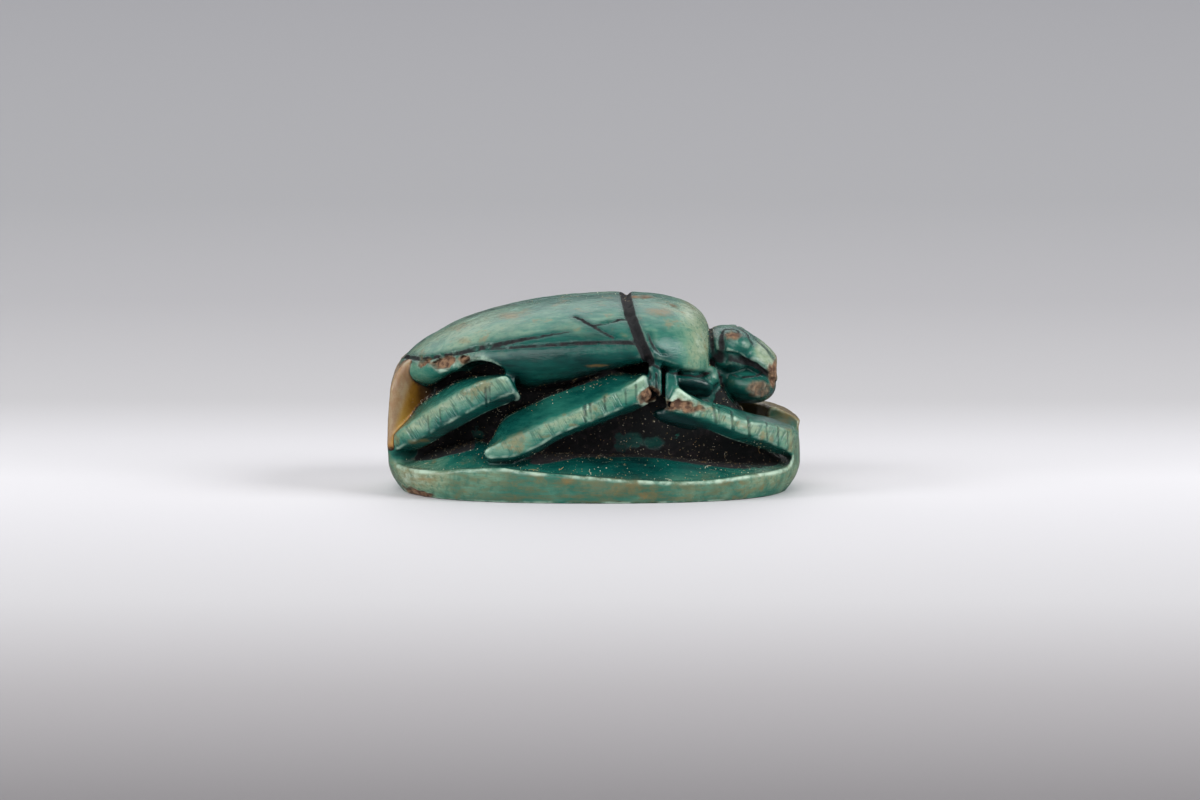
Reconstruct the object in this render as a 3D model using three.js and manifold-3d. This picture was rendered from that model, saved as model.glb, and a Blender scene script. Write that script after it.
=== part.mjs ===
// Scarab amulet: a beetle resting on an oval base, carved from one block of steatite and glazed.
// The stone is pierced lengthwise for a thread. Millimetres, +Z up, the head towards +X,
// the origin at the middle of the flat underside.
import * as THREE from "three";
import { LoftGeometry } from "three/addons/geometries/LoftGeometry.js";
import { mergeVertices } from "three/addons/utils/BufferGeometryUtils.js";
import Module from "manifold-3d";

// Driving dimensions.
const LENGTH = 18;
const WIDTH = 12.8;
const HEIGHT = 8.5;
const BORE_DIAMETER = 1.5;

const HALF_LENGTH = LENGTH / 2;
const HALF_WIDTH = WIDTH / 2;
const RIGHT = -1;
const LEFT = 1;

// How finely the curved forms are faceted.
const BACK_RINGS = 26;
const BACK_SIDES = 36;
const BASE_SIDES = 64;
const LEG_STEPS = 11;

// Every knot below is [share of the half length, share of the height or half width].
const BACK_TOP = curve([
  [-0.955, 0.63], [-0.9, 0.7], [-0.8, 0.779], [-0.59, 0.888], [-0.28, 0.968], [0.03, 1],
  [0.25, 0.999], [0.4, 0.971], [0.494, 0.925], [0.55, 0.85], [0.575, 0.765],
], HEIGHT);
const BACK_EDGE = curve([
  [-0.955, 0.615], [-0.7, 0.67], [-0.4, 0.715], [0, 0.735], [0.27, 0.745], [0.42, 0.7], [0.575, 0.65],
], HEIGHT);
const BACK_UNDER = curve([
  [-0.955, 0.04], [-0.8, 0.1], [-0.4, 0.14], [0.2, 0.14], [0.35, 0.1], [0.575, 0.08],
], HEIGHT);
const RIM_TOP = curve([
  [-1, 0.16], [-0.8, 0.145], [-0.6, 0.168], [-0.46, 0.178], [-0.3, 0.163], [-0.12, 0.149],
  [0.11, 0.129], [0.33, 0.114], [0.54, 0.11], [0.78, 0.14], [1, 0.17],
], HEIGHT);
const FLOOR_TOP = curve([
  [-1, 0.19], [-0.8, 0.23], [-0.65, 0.25], [-0.55, 0.28], [-0.4, 0.25], [-0.1, 0.218],
  [0.3, 0.21], [0.52, 0.18], [0.75, 0.155], [1, 0.18],
], HEIGHT);
const CORE_WIDTH = curve([
  [-1, 0.38], [-0.91, 0.36], [-0.82, 0.3], [-0.72, 0.27], [-0.59, 0.34], [-0.42, 0.48],
  [-0.17, 0.56], [0.11, 0.58], [0.33, 0.56], [0.5, 0.5], [0.64, 0.41], [0.75, 0.36], [0.92, 0.28],
], HALF_WIDTH);

// The back's outline from above: an oval, blunter at the head end.
const BACK = {
  middle: -0.055 * HALF_LENGTH,
  halfWidth: 0.9 * HALF_WIDTH,
  rear: { reach: 0.895 * HALF_LENGTH, squareness: 2.1 },
  front: { reach: 0.628 * HALF_LENGTH, squareness: 3.2 },
  crown: 2.25,
};

// The base's outline from above, from its flat underside up to its rim.
const BASE_RINGS = [
  { length: 0.945, width: 0.965, squareness: 2.15, height: () => 0 },
  { length: 0.975, width: 0.99, squareness: 2.25, height: () => 0.016 * HEIGHT },
  { length: 0.992, width: 1, squareness: 2.35, height: () => 0.06 * HEIGHT },
  { length: 1, width: 1, squareness: 2.45, height: RIM_TOP },
  { length: 0.97, width: 0.955, squareness: 2.45, height: (x) => RIM_TOP(x) + 0.012 * HEIGHT },
  { length: 0.82, width: 0.68, squareness: 2.3, height: FLOOR_TOP },
  { length: 0.4, width: 0.3, squareness: 2, height: () => 0.26 * HEIGHT },
];
const RIM = BASE_RINGS[3];

// Each leg's outer face: [share of half length, share of height, half its own height] along its
// middle line, from knee to foot, and how far its chamfers spread above and below it.
const LEGS = {
  hind: {
    knots: [[-0.395, 0.585, 0.052], [-0.54, 0.52, 0.055], [-0.7, 0.425, 0.052],
      [-0.85, 0.325, 0.042], [-0.92, 0.272, 0.042], [-0.968, 0.21, 0.046]],
    above: 0.02, below: 0.055, depth: 0.26, inset: 0,
  },
  middle: {
    knots: [[0.285, 0.59, 0.066], [0.2, 0.55, 0.056], [0.05, 0.473, 0.047],
      [-0.18, 0.37, 0.042], [-0.4, 0.285, 0.03], [-0.535, 0.235, 0.022]],
    above: 0.042, below: 0.04, depth: 0.4, inset: 0,
  },
  fore: {
    knots: [[0.335, 0.585, 0.055], [0.4, 0.55, 0.045], [0.548, 0.465, 0.034], [0.645, 0.408, 0.031],
      [0.748, 0.375, 0.034], [0.86, 0.325, 0.042], [0.93, 0.27, 0.048], [0.966, 0.22, 0.052]],
    above: 0.045, below: 0.05, depth: 0.3, inset: 0,
  },
  thigh: {
    knots: [[0.315, 0.63, 0.03], [0.4, 0.62, 0.032], [0.5, 0.592, 0.032], [0.615, 0.55, 0.02]],
    above: 0.05, below: 0.06, depth: 0.4, inset: 0.13,
  },
};
const LEG_LEAN = 0.13;

// The thin post between the middle and the fore knee.
const KNEE_POST = { at: [0.296, 0.8, 0.605], size: [0.022, 0.2, 0.2] };

// The head's rounded masses, in the same shares, each tipped forwards by its own angle.
const HEAD = {
  neck: { at: [0.58, 0, 0.61], size: [0.13, 0.34, 0.14], tip: 0 },
  skull: { at: [0.645, 0, 0.715], size: [0.15, 0.43, 0.125], tip: 10 },
  shield: { at: [0.755, 0, 0.675], size: [0.175, 0.36, 0.08], tip: 42 },
  jaw: { at: [0.722, 0, 0.56], size: [0.155, 0.39, 0.102], tip: 8 },
  rightEye: { at: [0.683, -0.3, 0.787], size: [0.074, 0.1, 0.05], tip: 20 },
  leftEye: { at: [0.683, 0.3, 0.787], size: [0.074, 0.1, 0.05], tip: 20 },
};
const HEAD_SIDES = 22;
const BROKEN_JAW_AT = 0.89 * HALF_LENGTH;

// Carved lines on the back: [share of half length, share of height] along each, on either side.
const GROOVES = {
  caseBorder: {
    line: [[-0.93, 0.68], [-0.82, 0.695], [-0.66, 0.74], [-0.5, 0.79], [-0.3, 0.835], [-0.1, 0.86]],
    width: 0.24, depth: 0.2,
  },
  sideLine: {
    line: [[-0.48, 0.775], [-0.3, 0.797], [-0.1, 0.81], [0.06, 0.816], [0.2, 0.812]],
    width: 0.2, depth: 0.14,
  },
  notchLong: { line: [[-0.092, 0.929], [-0.03, 0.901], [0.035, 0.868], [0.092, 0.835]], width: 0.16, depth: 0.1 },
  notchCross: { line: [[0.014, 0.894], [0.07, 0.907], [0.13, 0.918], [0.184, 0.929]], width: 0.16, depth: 0.1 },
};
const CASE_SEAM = { width: 0.2, depth: 0.16 };
const SHIELD_GROOVE = { crownAt: 0.152, sideAt: 0.262, width: 0.46, depth: 0.42 };
const BORE_AT = 0.36 * HEIGHT;

// A smooth curve through [share of half length, share of unit] knots, as a function of x.
function curve(knots, unit) {
  const xs = knots.map(([x]) => x * HALF_LENGTH);
  const values = knots.map(([, value]) => value * unit);
  const last = xs.length - 1;
  const slopes = xs.map((_, i) => {
    const before = Math.max(i - 1, 0);
    const after = Math.min(i + 1, last);
    return (values[after] - values[before]) / (xs[after] - xs[before]);
  });
  return (x) => {
    const at = Math.min(Math.max(x, xs[0]), xs[last]);
    const i = Math.min(xs.findLastIndex((knot) => knot <= at), last - 1);
    const span = xs[i + 1] - xs[i];
    const t = (at - xs[i]) / span;
    const rise = t * t * (3 - 2 * t);
    return values[i] * (1 - rise) + values[i + 1] * rise
      + span * t * (1 - t) * (slopes[i] * (1 - t) - slopes[i + 1] * t);
  };
}

// The sine or cosine of a superellipse: a circle's where squareness is 2.
function square(value, squareness) {
  return Math.sign(value) * Math.abs(value) ** (2 / squareness);
}

// Half the width of a superellipse at a share of its reach.
function ovalWidth(share, squareness) {
  return Math.max(1 - Math.abs(share) ** squareness, 0) ** (1 / squareness);
}

// A ring of points, with pointAt giving one for each angle.
function ring(sides, pointAt) {
  return Array.from({ length: sides }, (_, i) => pointAt((i / sides) * 2 * Math.PI));
}

const wasm = await Module();
wasm.setup();

// A closed solid through rings of points, whichever way round the rings run.
function loft(rings) {
  const [first, second] = rings;
  const spin = new THREE.Vector3();
  const along = new THREE.Vector3();
  first.forEach((point, i) => {
    spin.add(new THREE.Vector3().crossVectors(point, first[(i + 1) % first.length]));
    along.add(second[i]).sub(point);
  });
  const ordered = spin.dot(along) < 0 ? rings.map((points) => points.toReversed()) : rings;
  return solid(new LoftGeometry(ordered, { capStart: true, capEnd: true }));
}

// A closed three.js geometry as a solid that can be joined and cut.
function solid(geometry) {
  const bare = geometry.index ? geometry.toNonIndexed() : geometry.clone();
  bare.deleteAttribute("normal");
  bare.deleteAttribute("uv");
  const merged = mergeVertices(bare, 1e-4);
  const corners = merged.index.array;
  const faces = [];
  for (let i = 0; i < corners.length; i += 3) {
    const [a, b, c] = corners.slice(i, i + 3);
    if (a !== b && b !== c && a !== c) faces.push(a, b, c);
  }
  return new wasm.Manifold(new wasm.Mesh({
    numProp: 3,
    vertProperties: merged.attributes.position.array,
    triVerts: new Uint32Array(faces),
  }));
}

// A solid as a three.js geometry.
function geometryOf(made) {
  const mesh = made.getMesh();
  const geometry = new THREE.BufferGeometry();
  geometry.setAttribute("position", new THREE.BufferAttribute(mesh.vertProperties, 3));
  geometry.setIndex(new THREE.BufferAttribute(mesh.triVerts, 1));
  geometry.computeVertexNormals();
  return geometry;
}

function joined(solids) {
  return solids.reduce((whole, piece) => whole.add(piece));
}

function cut(whole, tools) {
  return tools.reduce((left, tool) => left.subtract(tool), whole);
}

function baseOutline(x, outline = RIM) {
  return outline.width * HALF_WIDTH * ovalWidth(x / (outline.length * HALF_LENGTH), outline.squareness);
}

function backHalfWidth(x) {
  const end = x < BACK.middle ? BACK.rear : BACK.front;
  return BACK.halfWidth * ovalWidth((x - BACK.middle) / end.reach, end.squareness);
}

// A point on the back: angle 0 is the left edge and a quarter turn the crown.
function backPoint(x, angle, lift = 0) {
  const rise = Math.sin(angle) > 0 ? BACK_TOP(x) - BACK_EDGE(x) : BACK_UNDER(x);
  return new THREE.Vector3(
    x,
    (backHalfWidth(x) + lift) * square(Math.cos(angle), BACK.crown),
    BACK_EDGE(x) + (rise + lift) * square(Math.sin(angle), BACK.crown),
  );
}

function base() {
  const rings = BASE_RINGS.map((outline) => ring(BASE_SIDES, (angle) => {
    const x = outline.length * HALF_LENGTH * square(Math.cos(angle), outline.squareness);
    const y = outline.width * HALF_WIDTH * square(Math.sin(angle), outline.squareness);
    return new THREE.Vector3(x, y, outline.height(x));
  }));
  return loft(rings);
}

// The wing cases and the thorax shield, one domed form.
function back() {
  const widestTurn = 0.47 * Math.PI;
  const rings = Array.from({ length: BACK_RINGS }, (_, i) => {
    const turn = THREE.MathUtils.lerp(-widestTurn, widestTurn, i / (BACK_RINGS - 1));
    const reach = turn < 0 ? BACK.rear.reach : BACK.front.reach;
    const x = BACK.middle + reach * Math.sin(turn);
    return ring(BACK_SIDES, (angle) => backPoint(x, angle));
  });
  return loft(rings);
}

// The block left between the legs, from the tail wall to the breast.
function core() {
  const levels = [
    { height: 0.12, rear: -0.985, front: 0.93 },
    { height: 0.28, rear: -0.99, front: 0.83 },
    { height: 0.36, rear: -0.988, front: 0.78 },
    { height: 0.46, rear: -0.985, front: 0.73 },
    { height: 0.55, rear: -0.978, front: 0.64 },
    { height: 0.61, rear: -0.955, front: 0.6 },
    { height: 0.68, rear: -0.9, front: 0.54 },
  ];
  const sides = 44;
  const endSquareness = 7;
  const rings = levels.map(({ height, rear, front }) => ring(sides, (angle) => {
    const along = square(Math.cos(angle), 2.6);
    const x = HALF_LENGTH * THREE.MathUtils.lerp(rear, front, (along + 1) / 2);
    const y = CORE_WIDTH(x) * ovalWidth(along, endSquareness) * Math.sign(Math.sin(angle));
    return new THREE.Vector3(x, Math.abs(along) > 0.9999 ? 0 : y, height * HEIGHT);
  }));
  return loft(rings);
}

// One leg, a chamfered bar that follows the base's outline from its knee down to its foot.
function leg({ knots, above, below, depth, inset }, side) {
  const line = new THREE.CatmullRomCurve3(
    knots.map(([x, z, half]) => new THREE.Vector3(x * HALF_LENGTH, half * HEIGHT, z * HEIGHT)),
  );
  const sections = Array.from({ length: LEG_STEPS }, (_, i) => {
    const t = i / (LEG_STEPS - 1);
    const { x, y: half, z } = line.getPoint(t);
    const { x: run, z: climb } = line.getTangent(t);
    const wide = baseOutline(x);
    const out = new THREE.Vector3(
      Math.sign(x) * (Math.abs(x) / HALF_LENGTH) ** (RIM.squareness - 1) / HALF_LENGTH,
      (wide / HALF_WIDTH) ** (RIM.squareness - 1) / HALF_WIDTH,
      0,
    ).normalize();
    const up = new THREE.Vector3(-climb, 0, run).normalize();
    if (up.z < 0) up.negate();
    const lean = LEG_LEAN * (z - RIM_TOP(x)) + inset * HALF_WIDTH;
    const face = new THREE.Vector3(x, wide, z).addScaledVector(out, -lean);
    const chamfer = 0.09 * HEIGHT;
    return [
      [half, 0], [half + above * HEIGHT, chamfer], [half + above * HEIGHT, depth * HALF_WIDTH],
      [-half - below * HEIGHT, depth * HALF_WIDTH], [-half - below * HEIGHT, chamfer], [-half, 0],
    ].map(([rise, inward]) => {
      const point = face.clone().addScaledVector(up, rise).addScaledVector(out, -inward);
      point.y *= side;
      return point;
    });
  });
  return loft(sections);
}

// A rounded mass of the head, tipped forwards.
function mass({ at: [x, y, z], size: [long, wide, high], tip }) {
  const form = new THREE.SphereGeometry(1, HEAD_SIDES, HEAD_SIDES / 2);
  form.scale(long * HALF_LENGTH, wide * HALF_WIDTH, high * HEIGHT);
  form.rotateY(THREE.MathUtils.degToRad(tip));
  form.translate(x * HALF_LENGTH, y * HALF_WIDTH, z * HEIGHT);
  return solid(form);
}

function head() {
  const front = new THREE.BoxGeometry(HALF_LENGTH, WIDTH, HEIGHT);
  front.rotateY(THREE.MathUtils.degToRad(-6));
  front.translate(BROKEN_JAW_AT + HALF_LENGTH / 2, 0, 0.45 * HEIGHT);
  return joined(Object.values(HEAD).map(mass)).subtract(solid(front));
}

function kneePost(side) {
  const [x, y, z] = KNEE_POST.at;
  const [long, wide, high] = KNEE_POST.size;
  const post = new THREE.BoxGeometry(long * HALF_LENGTH, wide * HALF_WIDTH, high * HEIGHT);
  post.translate(x * HALF_LENGTH, side * y * HALF_WIDTH, z * HEIGHT);
  return solid(post);
}

// The angle round the back at which its side stands at height z.
function angleAt(x, z) {
  const edge = BACK_EDGE(x);
  const share = Math.abs(z - edge) / (z > edge ? BACK_TOP(x) - edge : BACK_UNDER(x));
  return Math.sign(z - edge) * Math.asin(Math.min(share, 1) ** (BACK.crown / 2));
}

// A V-shaped cutter along a path of [x, angle] over the back.
function groove(path, { width, depth }) {
  const step = 0.01;
  const clearance = 0.3;
  const rings = path.map(([x, angle], i) => {
    const [nextX, nextAngle] = path[Math.min(i + 1, path.length - 1)];
    const [lastX, lastAngle] = path[Math.max(i - 1, 0)];
    const at = backPoint(x, angle);
    const run = backPoint(nextX, nextAngle).sub(backPoint(lastX, lastAngle)).normalize();
    const round = backPoint(x, angle + step).sub(backPoint(x, angle - step));
    const along = backPoint(x + step, angle).sub(backPoint(x - step, angle));
    const out = new THREE.Vector3().crossVectors(along, round).normalize();
    if (out.z < 0 && Math.sin(angle) > 0) out.negate();
    const across = new THREE.Vector3().crossVectors(run, out).normalize();
    const spread = (width / 2) * (1 + clearance / depth);
    return [
      at.clone().addScaledVector(out, clearance).addScaledVector(across, spread),
      at.clone().addScaledVector(out, clearance).addScaledVector(across, -spread),
      at.clone().addScaledVector(out, -depth),
    ];
  });
  return loft(rings);
}

function grooves() {
  const lines = Object.values(GROOVES).flatMap((shape) => [RIGHT, LEFT].map((side) => {
    const path = shape.line.map(([x, z]) => {
      const up = angleAt(x * HALF_LENGTH, z * HEIGHT);
      return [x * HALF_LENGTH, side === LEFT ? up : Math.PI - up];
    });
    return groove(path, shape);
  }));
  const seam = Array.from({ length: 10 }, (_, i) => [
    HALF_LENGTH * THREE.MathUtils.lerp(-0.92, SHIELD_GROOVE.crownAt, i / 9), Math.PI / 2,
  ]);
  const shield = Array.from({ length: 23 }, (_, i) => {
    const angle = THREE.MathUtils.lerp(0.01, 0.99, i / 22) * Math.PI;
    const slant = (1 - Math.sin(angle)) * (SHIELD_GROOVE.sideAt - SHIELD_GROOVE.crownAt);
    return [HALF_LENGTH * (SHIELD_GROOVE.crownAt + slant), angle];
  });
  return [...lines, groove(seam, CASE_SEAM), groove(shield, SHIELD_GROOVE)];
}

function bore() {
  const hole = new THREE.CylinderGeometry(BORE_DIAMETER / 2, BORE_DIAMETER / 2, 1.2 * LENGTH, 20);
  hole.rotateZ(Math.PI / 2);
  hole.translate(0, 0, BORE_AT);
  return solid(hole);
}

const carved = joined([
  base(), core(), back(), head(),
  ...[RIGHT, LEFT].flatMap((side) => [
    kneePost(side), ...Object.values(LEGS).map((shape) => leg(shape, side)),
  ]),
]);
const whole = cut(carved, [...grooves(), bore()]);

const steatite = new THREE.MeshStandardMaterial({ color: 0x5f8f7d, roughness: 0.4, metalness: 0 });
const scarab = new THREE.Mesh(geometryOf(whole), steatite);
scarab.name = "scarab";

const amulet = new THREE.Group();
amulet.add(scarab);
export default amulet;
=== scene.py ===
"""A glazed steatite scarab amulet on a pale studio sweep.

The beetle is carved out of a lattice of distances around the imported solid, in the same way as a
carver works: rough masses first, then the legs, the cut lines, the chips and the wear. Lengths are
in millimetres while carving and in metres in Blender. +X is the head, +Z is up.
"""

from __future__ import annotations

import logging
import math
from collections.abc import Callable, Sequence
from dataclasses import dataclass, field
from enum import Enum

import bpy
import numpy as np
import openvdb
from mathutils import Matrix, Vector


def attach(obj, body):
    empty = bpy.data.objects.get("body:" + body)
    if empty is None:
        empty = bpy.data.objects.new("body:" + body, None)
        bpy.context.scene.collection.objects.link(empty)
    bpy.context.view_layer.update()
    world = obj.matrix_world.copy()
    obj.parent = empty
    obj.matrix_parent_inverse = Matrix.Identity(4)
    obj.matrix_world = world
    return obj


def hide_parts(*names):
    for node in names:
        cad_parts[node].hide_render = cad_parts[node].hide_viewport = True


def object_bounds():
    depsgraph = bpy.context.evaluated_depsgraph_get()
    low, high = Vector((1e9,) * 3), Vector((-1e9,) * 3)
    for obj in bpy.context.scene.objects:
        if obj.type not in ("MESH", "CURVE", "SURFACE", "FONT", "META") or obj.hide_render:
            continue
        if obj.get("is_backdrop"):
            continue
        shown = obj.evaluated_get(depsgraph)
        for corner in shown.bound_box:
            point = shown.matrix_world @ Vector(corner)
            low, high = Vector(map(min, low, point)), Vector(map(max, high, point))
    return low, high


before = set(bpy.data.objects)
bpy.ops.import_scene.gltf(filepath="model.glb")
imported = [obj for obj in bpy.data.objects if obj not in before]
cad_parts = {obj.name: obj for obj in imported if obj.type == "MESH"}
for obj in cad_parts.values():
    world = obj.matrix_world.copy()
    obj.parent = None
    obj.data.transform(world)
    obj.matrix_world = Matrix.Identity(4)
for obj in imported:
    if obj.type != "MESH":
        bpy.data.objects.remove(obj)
PACKED_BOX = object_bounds()

logging.basicConfig(level=logging.INFO, format="%(message)s", force=True)
log = logging.getLogger("scarab")

MM = 0.001
# At a design height of 8.5 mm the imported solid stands 8.525 mm high.
DESIGN_HEIGHT = 8.5
PACKED_HEIGHT = 0.008525
NEARLY_ZERO = 1e-6
OFF_AXIS = 1e-4
NODE = "scarab"
BODY = "root"
MOST_TRIANGLES = 190_000
FINE_SPACING = 0.07
LINE_HALO = 0.5
SKY_SCALE = 1.6
SKY_REACH = 0.2
RECESS_REACH = 0.85
SEEN_FROM = 0.105
LEG_LEAN = 0.13

Array = np.ndarray
Point = tuple[float, float]
Colour = tuple[float, float, float, float]
Triple = tuple[float, float, float]
Shape = Callable[["Bench"], bpy.types.NodeSocket]


class Side(Enum):
    """Which side of the beetle, as the sign of Y."""

    RIGHT = -1.0
    LEFT = 1.0


def colour(red: int, green: int, blue: int) -> Colour:
    """Turns a display colour into the linear one that shaders take.

    Args:
        red: Red, 0 to 255.
        green: Green, 0 to 255.
        blue: Blue, 0 to 255.

    Returns:
        The colour as linear red, green, blue and a full alpha.
    """
    shares = (red / 255, green / 255, blue / 255)
    linear = [s / 12.92 if s <= 0.04045 else ((s + 0.055) / 1.055) ** 2.4 for s in shares]
    return (linear[0], linear[1], linear[2], 1.0)


def soft_min(first: Array, second: Array | float, radius: float) -> Array:
    """Joins two distances with a fillet.

    Args:
        first: One distance field.
        second: The other distance field.
        radius: How wide the fillet is, in millimetres.

    Returns:
        The joined distance field.
    """
    share = np.clip(0.5 + 0.5 * (second - first) / radius, 0, 1)
    return second + (first - second) * share - radius * share * (1 - share)


def soft_max(first: Array, second: Array | float, radius: float) -> Array:
    """Keeps what lies in both distances, with a rounded edge of that radius."""
    return -soft_min(-first, -second, radius)


def smooth_step(value: Array, low: float, high: float) -> Array:
    """Rises smoothly from 0 at low to 1 at high."""
    share = np.clip((value - low) / (high - low), 0, 1)
    return share * share * (3 - 2 * share)


@dataclass(frozen=True)
class Size:
    """The amulet's outside size, in millimetres."""

    half_length: float
    half_width: float
    height: float

    @classmethod
    def of_box(cls, low: Vector, high: Vector) -> Size:
        """Reads the size off a box in metres, centred on the origin in plan and standing on it.

        Args:
            low: The box's lowest corner.
            high: The box's highest corner.

        Returns:
            The size in millimetres.
        """
        height = DESIGN_HEIGHT * high.z / PACKED_HEIGHT
        return cls((high.x - low.x) / 2 / MM, (high.y - low.y) / 2 / MM, height)


@dataclass(frozen=True)
class Profile:
    """A smooth curve along the beetle, through knots of (share of half length, share of a unit)."""

    knots: tuple[Point, ...]

    def along(self, x: Array, size: Size, unit: float) -> Array:
        """Reads the curve.

        Args:
            x: Places along the beetle, in millimetres.
            size: The amulet's size.
            unit: What the knots' second numbers are shares of, in millimetres.

        Returns:
            The curve's value at each place, in millimetres.
        """
        places = np.array([knot[0] for knot in self.knots]) * size.half_length
        values = np.array([knot[1] for knot in self.knots]) * unit
        after = np.minimum(np.arange(len(places)) + 1, len(places) - 1)
        before = np.maximum(np.arange(len(places)) - 1, 0)
        slopes = (values[after] - values[before]) / (places[after] - places[before])
        at = np.clip(x, places[0], places[-1])
        i = np.clip(np.searchsorted(places, at, side="right") - 1, 0, len(places) - 2)
        span = places[i + 1] - places[i]
        t = (at - places[i]) / span
        rise = t * t * (3 - 2 * t)
        bend = span * t * (1 - t) * (slopes[i] * (1 - t) - slopes[i + 1] * t)
        return (values[i] * (1 - rise) + values[i + 1] * rise + bend).astype(np.float32)


@dataclass(frozen=True)
class Oval:
    """A blunt oval outline seen from above: half sizes in millimetres and how square it is."""

    half_length: float
    half_width: float
    squareness: float

    def depth(self, x: Array, y: Array) -> Array:
        """Measures how far inside the outline each place is.

        Args:
            x: Places along the beetle, in millimetres.
            y: Places across it, in millimetres.

        Returns:
            The depths in millimetres, negative outside.
        """
        along = np.abs(x) / self.half_length + OFF_AXIS
        across = np.abs(y) / self.half_width + OFF_AXIS
        power = self.squareness
        share = (along**power + across**power) ** (1 / power)
        slope = np.hypot(
            along ** (power - 1) / self.half_length, across ** (power - 1) / self.half_width
        )
        return (1 - share) / (slope * share ** (1 - power))


@dataclass(frozen=True)
class Layer:
    """One layer of unevenness: its strength, the size of its humps in millimetres, its seed."""

    strength: float
    cell: float
    seed: int


class StoneBlock:
    """The lattice of points that is carved. Distances are negative inside the stone."""

    def __init__(self, size: Size, spacing: float, margin: float = 0.45) -> None:
        """Lays out the lattice.

        Args:
            size: The amulet's size.
            spacing: The distance between points, in millimetres.
            margin: Free space round the amulet, in millimetres.
        """
        low = np.array([-size.half_length, -size.half_width, 0.0]) - margin
        high = np.array([size.half_length, size.half_width, size.height]) + margin
        self.size = size
        self.low = low
        self.spacing = spacing
        self.counts = np.ceil((high - low) / spacing).astype(int) + 1
        axes = [low[i] + spacing * np.arange(self.counts[i]) for i in range(3)]
        self.x = axes[0].astype(np.float32).reshape(-1, 1, 1)
        self.y = axes[1].astype(np.float32).reshape(1, -1, 1)
        self.z = axes[2].astype(np.float32).reshape(1, 1, -1)
        self.distance = self.blank()

    def blank(self, value: float = 2.0) -> Array:
        """Makes a lattice that holds one value."""
        return np.full(self.counts, value, np.float32)

    def join(self, distance: Array, fillet: float) -> None:
        """Adds stone where distance is negative."""
        self.distance = soft_min(self.distance, distance, fillet).astype(np.float32)

    def cut(self, distance: Array, rounding: float) -> None:
        """Takes stone away where distance is negative."""
        self.distance = soft_max(self.distance, -distance, rounding).astype(np.float32)

    def blur(self, values: Array, radius: float) -> Array:
        """Averages values round each point, much as a Gaussian would.

        Args:
            values: The lattice's values.
            radius: About how far the average reaches, in millimetres.

        Returns:
            The averaged values.
        """
        half = max(round((math.sqrt(4 * (radius / self.spacing) ** 2 + 1) - 1) / 2), 1)
        result = values.astype(np.float64)
        for axis in (0, 1, 2):
            pad = [(half + 1, half) if i == axis else (0, 0) for i in range(3)]
            for _ in range(3):
                total = np.cumsum(np.pad(result, pad, mode="edge"), axis=axis)
                count = result.shape[axis]
                ahead = np.take(total, np.arange(2 * half + 1, 2 * half + 1 + count), axis=axis)
                behind = np.take(total, np.arange(count), axis=axis)
                result = (ahead - behind) / (2 * half + 1)
        return result.astype(np.float32)

    def noise(self, cell: float, seed: int) -> Array:
        """Makes smooth random values of about -1 to 1.

        Args:
            cell: The size of the unevenness, in millimetres.
            seed: The seed of the random draw.

        Returns:
            A lattice of values.
        """
        counts = [int(n * self.spacing / cell) + 3 for n in self.counts]
        values = np.random.default_rng(seed).uniform(-1, 1, counts).astype(np.float32)
        for axis in range(3):
            at = np.arange(self.counts[axis]) * self.spacing / cell
            i = at.astype(int)
            t = (at - i).astype(np.float32)
            shape = [-1 if k == axis else 1 for k in range(3)]
            t = (t * t * (3 - 2 * t)).reshape(shape)
            values = np.take(values, i, axis) * (1 - t) + np.take(values, i + 1, axis) * t
        return values

    def unevenness(self, layers: Sequence[Layer]) -> Array:
        """Adds up layers of smooth random values."""
        return sum(layer.strength * self.noise(layer.cell, layer.seed) for layer in layers)

    def sample(self, values: Array, points: Array) -> Array:
        """Reads a lattice at points between its own.

        Args:
            values: The lattice's values.
            points: The places, one row each, in millimetres.

        Returns:
            One value for each point.
        """
        at = (points - self.low) / self.spacing
        i = np.clip(np.floor(at).astype(int), 0, self.counts - 2)
        t = np.clip(at - i, 0, 1)
        total = np.zeros(len(points))
        for corner in range(8):
            step = np.array([(corner >> k) & 1 for k in range(3)])
            weight = np.prod(np.where(step == 1, t, 1 - t), axis=1)
            j = i + step
            total += weight * values[j[:, 0], j[:, 1], j[:, 2]]
        return total

    def on_side(self, path: Sequence[Point], side: Side, slant: float = 0.0) -> Array:
        """Lays a path on the outermost stone of one side.

        Args:
            path: Places along and above, in shares of the half length and of the height.
            side: Which side of the beetle.
            slant: How much higher a place lies for each unit that the stone stands out.

        Returns:
            The path's points, one row each, in millimetres.
        """
        dense = spread(np.array(path) * [self.size.half_length, self.size.height], 0.1)
        outwards = self.y.ravel() * side.value
        order = np.argsort(outwards)[::-1]
        outwards = outwards[order]
        points = []
        for x, z in dense:
            i = round((x - self.low[0]) / self.spacing)
            k = np.round((z + slant * outwards - self.low[2]) / self.spacing).astype(int)
            line = self.distance[i, order, np.clip(k, 0, self.counts[2] - 1)]
            hit = int(np.argmax(line < 0))
            if line[hit] >= 0:
                continue
            share = line[hit - 1] / (line[hit - 1] - line[hit]) if hit else 0.0
            out = outwards[hit] + self.spacing * (1 - share)
            points.append((x, side.value * out, z + slant * out))
        return np.array(points)

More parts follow.
